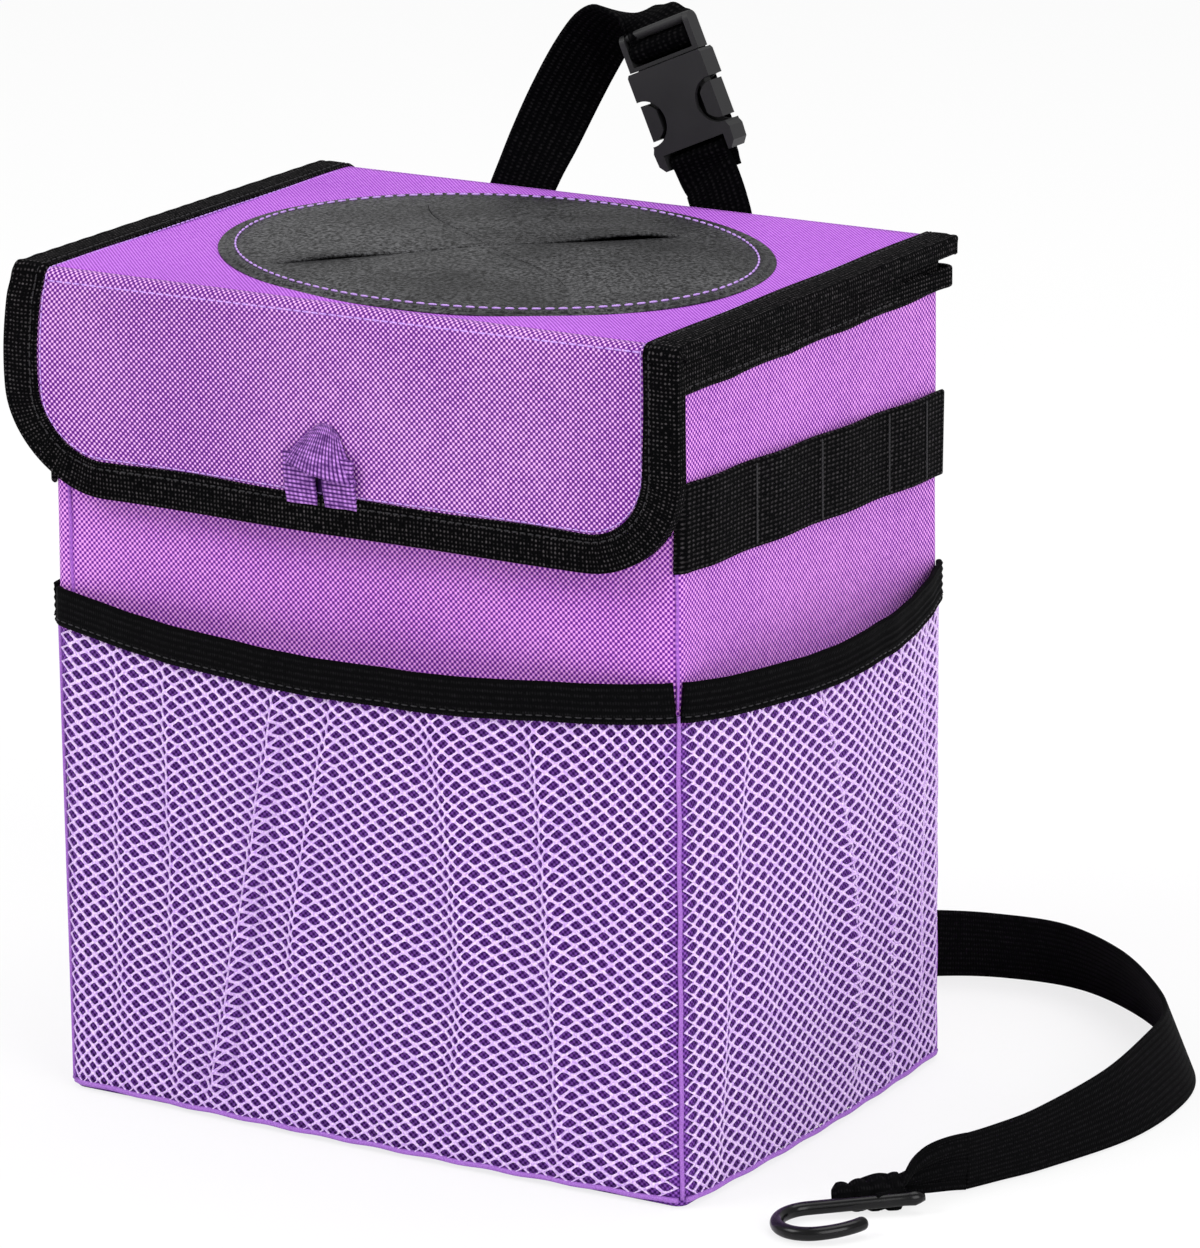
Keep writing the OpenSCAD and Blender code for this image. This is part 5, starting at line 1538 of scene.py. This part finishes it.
# %% Gathered end of the strap
def gathers():
    """Crumpled end behind the shank: an oval ring at each place along it. Four folds swell and
    narrow the ring by a rectified sine, and a slower wave of the angle makes them uneven."""
    x = np.linspace(3.0, 23.4, 110)
    turn = np.linspace(0, 2 * math.pi, 48, endpoint=False)
    phase = (x[:, None] - 3.0) / 5.1 + 0.16 * np.sin(2 * turn) + 0.1 * np.sin(3 * turn + 1)
    fold = np.abs(np.sin(np.pi * phase)) ** 0.7
    ends = np.clip((x - 2.9) / 1.5, 0, 1) * np.clip((23.6 - x) / 1.5, 0, 1)
    radius = 1.5 + (1.0 + 0.9 * fold + 0.07 * (23.4 - x[:, None])) * ends[:, None] ** 0.5
    y, z = radius * np.cos(turn) - 4.6, radius * np.sin(turn) * 1.25 + 0.6
    grid = hook_frame(xyz(x[:, None], y, z))
    grid[..., 2] = np.maximum(grid[..., 2], 0.15)
    faces = grid_faces(*grid.shape[:2], loop_cols=True)
    return make_mesh("strap_end_gathers", grid, faces, map_of(turn * 3.4, x[:, None]))


settle(gathers(), ELASTIC, "bin", "black_elastic", "lower_strap_end")


def strap_tail():
    """Last piece of the strap: a wide band from the cord's end that turns from standing on its
    edge to lying over the shank, with three soft folds running into the gathers."""
    half_end = CORD_W / 2 * cord_share[-1]
    start = np.array([*CORD_ROUTE[-1], half_end + CORD_CLEAR])
    shank = np.array([math.cos(HOOK_TURN), math.sin(HOOK_TURN), 0])
    over = HOOK_AT + 13.5 * shank - 4.0 * np.array([-shank[1], shank[0], 0]) + UP
    t, w = np.linspace(0, 1, 40)[:, None], np.linspace(-1, 1, 60)[None]
    turn = smooth_step(t)
    path = start * (1 - t) + over * t
    path[:, 2:] = start[2] + (over[2] - start[2]) * turn + 0.9 * np.sin(np.pi * t)
    across = unit(UP * (1 - turn) - shank * turn)
    half = half_end - 0.2 - 2.6 * t
    folds = (0.25 + 0.8 * t) * np.sin(w * math.pi * 2.6 + 1.2 * t) + 0.4 * t * np.sin(w * 17)
    grid = strap_grid(path, across, np.stack([w * half, folds], -1))
    grid[..., 2] = np.maximum(grid[..., 2], 0.5)
    uv = map_of(w * CORD_W / 2, run_of(path)[:, None])
    return make_mesh("strap_end_band", grid, grid_faces(*grid.shape[:2])[:, ::-1], uv)


settle(thicken(strap_tail(), 1.5, 0.0), ELASTIC, "bin", "black_elastic")

# %% [markdown]

# %% [markdown]
# The six boards keep their solids, and a piece made above stands for each of the others. Every
# solid takes the finish of its stuff, so that none is left plain.

# %% Finishes of the solids that stay
def finish_of(name):
    """Finish of a solid by the word in its name that says what it is made of."""
    words = {"_board": BOARD, "liner": LINING, "patch": PILE, "elastic": ELASTIC, "net": NET,
             "webbing": WEBBING, "binding": TAPE, "buckle": PLASTIC, "latch": PLASTIC,
             "leather": LEATHER, "hook": WIRE, "strap": WEBBING}
    for word, made in words.items():
        if word in name:
            return made
    return VIOLET


for name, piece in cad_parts.items():
    piece.data.materials.clear()
    piece.data.materials.append(finish_of(name))
print(len(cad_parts), "solids have a finish")

# %% [markdown]
# The picture shows the bin on a white ground that keeps only a faint shadow under it. The floor is
# matt white for the light that falls on it. For the camera it is partly lit by itself, so that it
# reads as white while a soft shadow stays. The world and large lamps give an even daylight.

# %% Floor, backdrop and light
PLAIN_SHARE = 0.78
LAMP_AIM = np.array([0, 0, 0.15])


def white_ground():
    """Floor whose colour for the camera is mixed from a lit matt white and a plain white."""
    material = bpy.data.materials.new("white_ground")
    material.use_nodes = True
    tree = material.node_tree
    tree.nodes.clear()
    output = tree.nodes.new("ShaderNodeOutputMaterial")
    mix = tree.nodes.new("ShaderNodeMixShader")
    matt = tree.nodes.new("ShaderNodeBsdfDiffuse")
    glow = tree.nodes.new("ShaderNodeEmission")
    ray = tree.nodes.new("ShaderNodeLightPath")
    share = tree.nodes.new("ShaderNodeMath")
    share.operation = "MULTIPLY"
    share.inputs[1].default_value = PLAIN_SHARE
    matt.inputs["Color"].default_value = (0.92, 0.92, 0.92, 1)
    glow.inputs["Strength"].default_value = 1.0
    tree.links.new(ray.outputs["Is Camera Ray"], share.inputs[0])
    tree.links.new(share.outputs[0], mix.inputs[0])
    tree.links.new(matt.outputs[0], mix.inputs[1])
    tree.links.new(glow.outputs[0], mix.inputs[2])
    tree.links.new(mix.outputs[0], output.inputs[0])
    return material


def make_floor():
    """Square of eight metres at the height of the bin's foot."""
    corners = np.array([[-4, -4, 0], [4, -4, 0], [4, 4, 0], [-4, 4, 0]]) / MM
    floor = make_mesh("floor", corners, [[0, 1, 2, 3]], smooth=False)
    floor.data.materials.append(white_ground())


def area_lamp(name, place, size, power):
    """Square lamp at a place in metres, turned towards the point it aims at."""
    data = bpy.data.lights.new(name, "AREA")
    data.size, data.energy = size, power
    lamp = bpy.data.objects.new(name, data)
    bpy.context.scene.collection.objects.link(lamp)
    back = unit(np.array(place) - LAMP_AIM)
    right = unit(np.cross(UP, back))
    lamp.matrix_world = standing(right, np.cross(back, right), back, place)


def white_world():
    """World that lights softly, and is plain white where the camera sees it."""
    world = bpy.data.worlds.new("white_world")
    bpy.context.scene.world = world
    world.use_nodes = True
    tree = world.node_tree
    background = tree.nodes["Background"]
    ray = tree.nodes.new("ShaderNodeLightPath")
    seen = tree.nodes.new("ShaderNodeMath")
    seen.operation = "MULTIPLY_ADD"
    seen.inputs[1].default_value = 0.45
    seen.inputs[2].default_value = 0.55
    tree.links.new(ray.outputs["Is Camera Ray"], seen.inputs[0])
    tree.links.new(seen.outputs[0], background.inputs["Strength"])
    background.inputs["Color"].default_value = (1, 1, 1, 1)


make_floor()
white_world()
area_lamp("key", (-1.6, -1.8, 2.2), 1.4, 44)
area_lamp("fill", (2.2, -1.0, 1.2), 1.6, 36)
area_lamp("top", (0.3, 0.6, 2.6), 1.6, 22)
bpy.context.scene.view_settings.view_transform = "Standard"
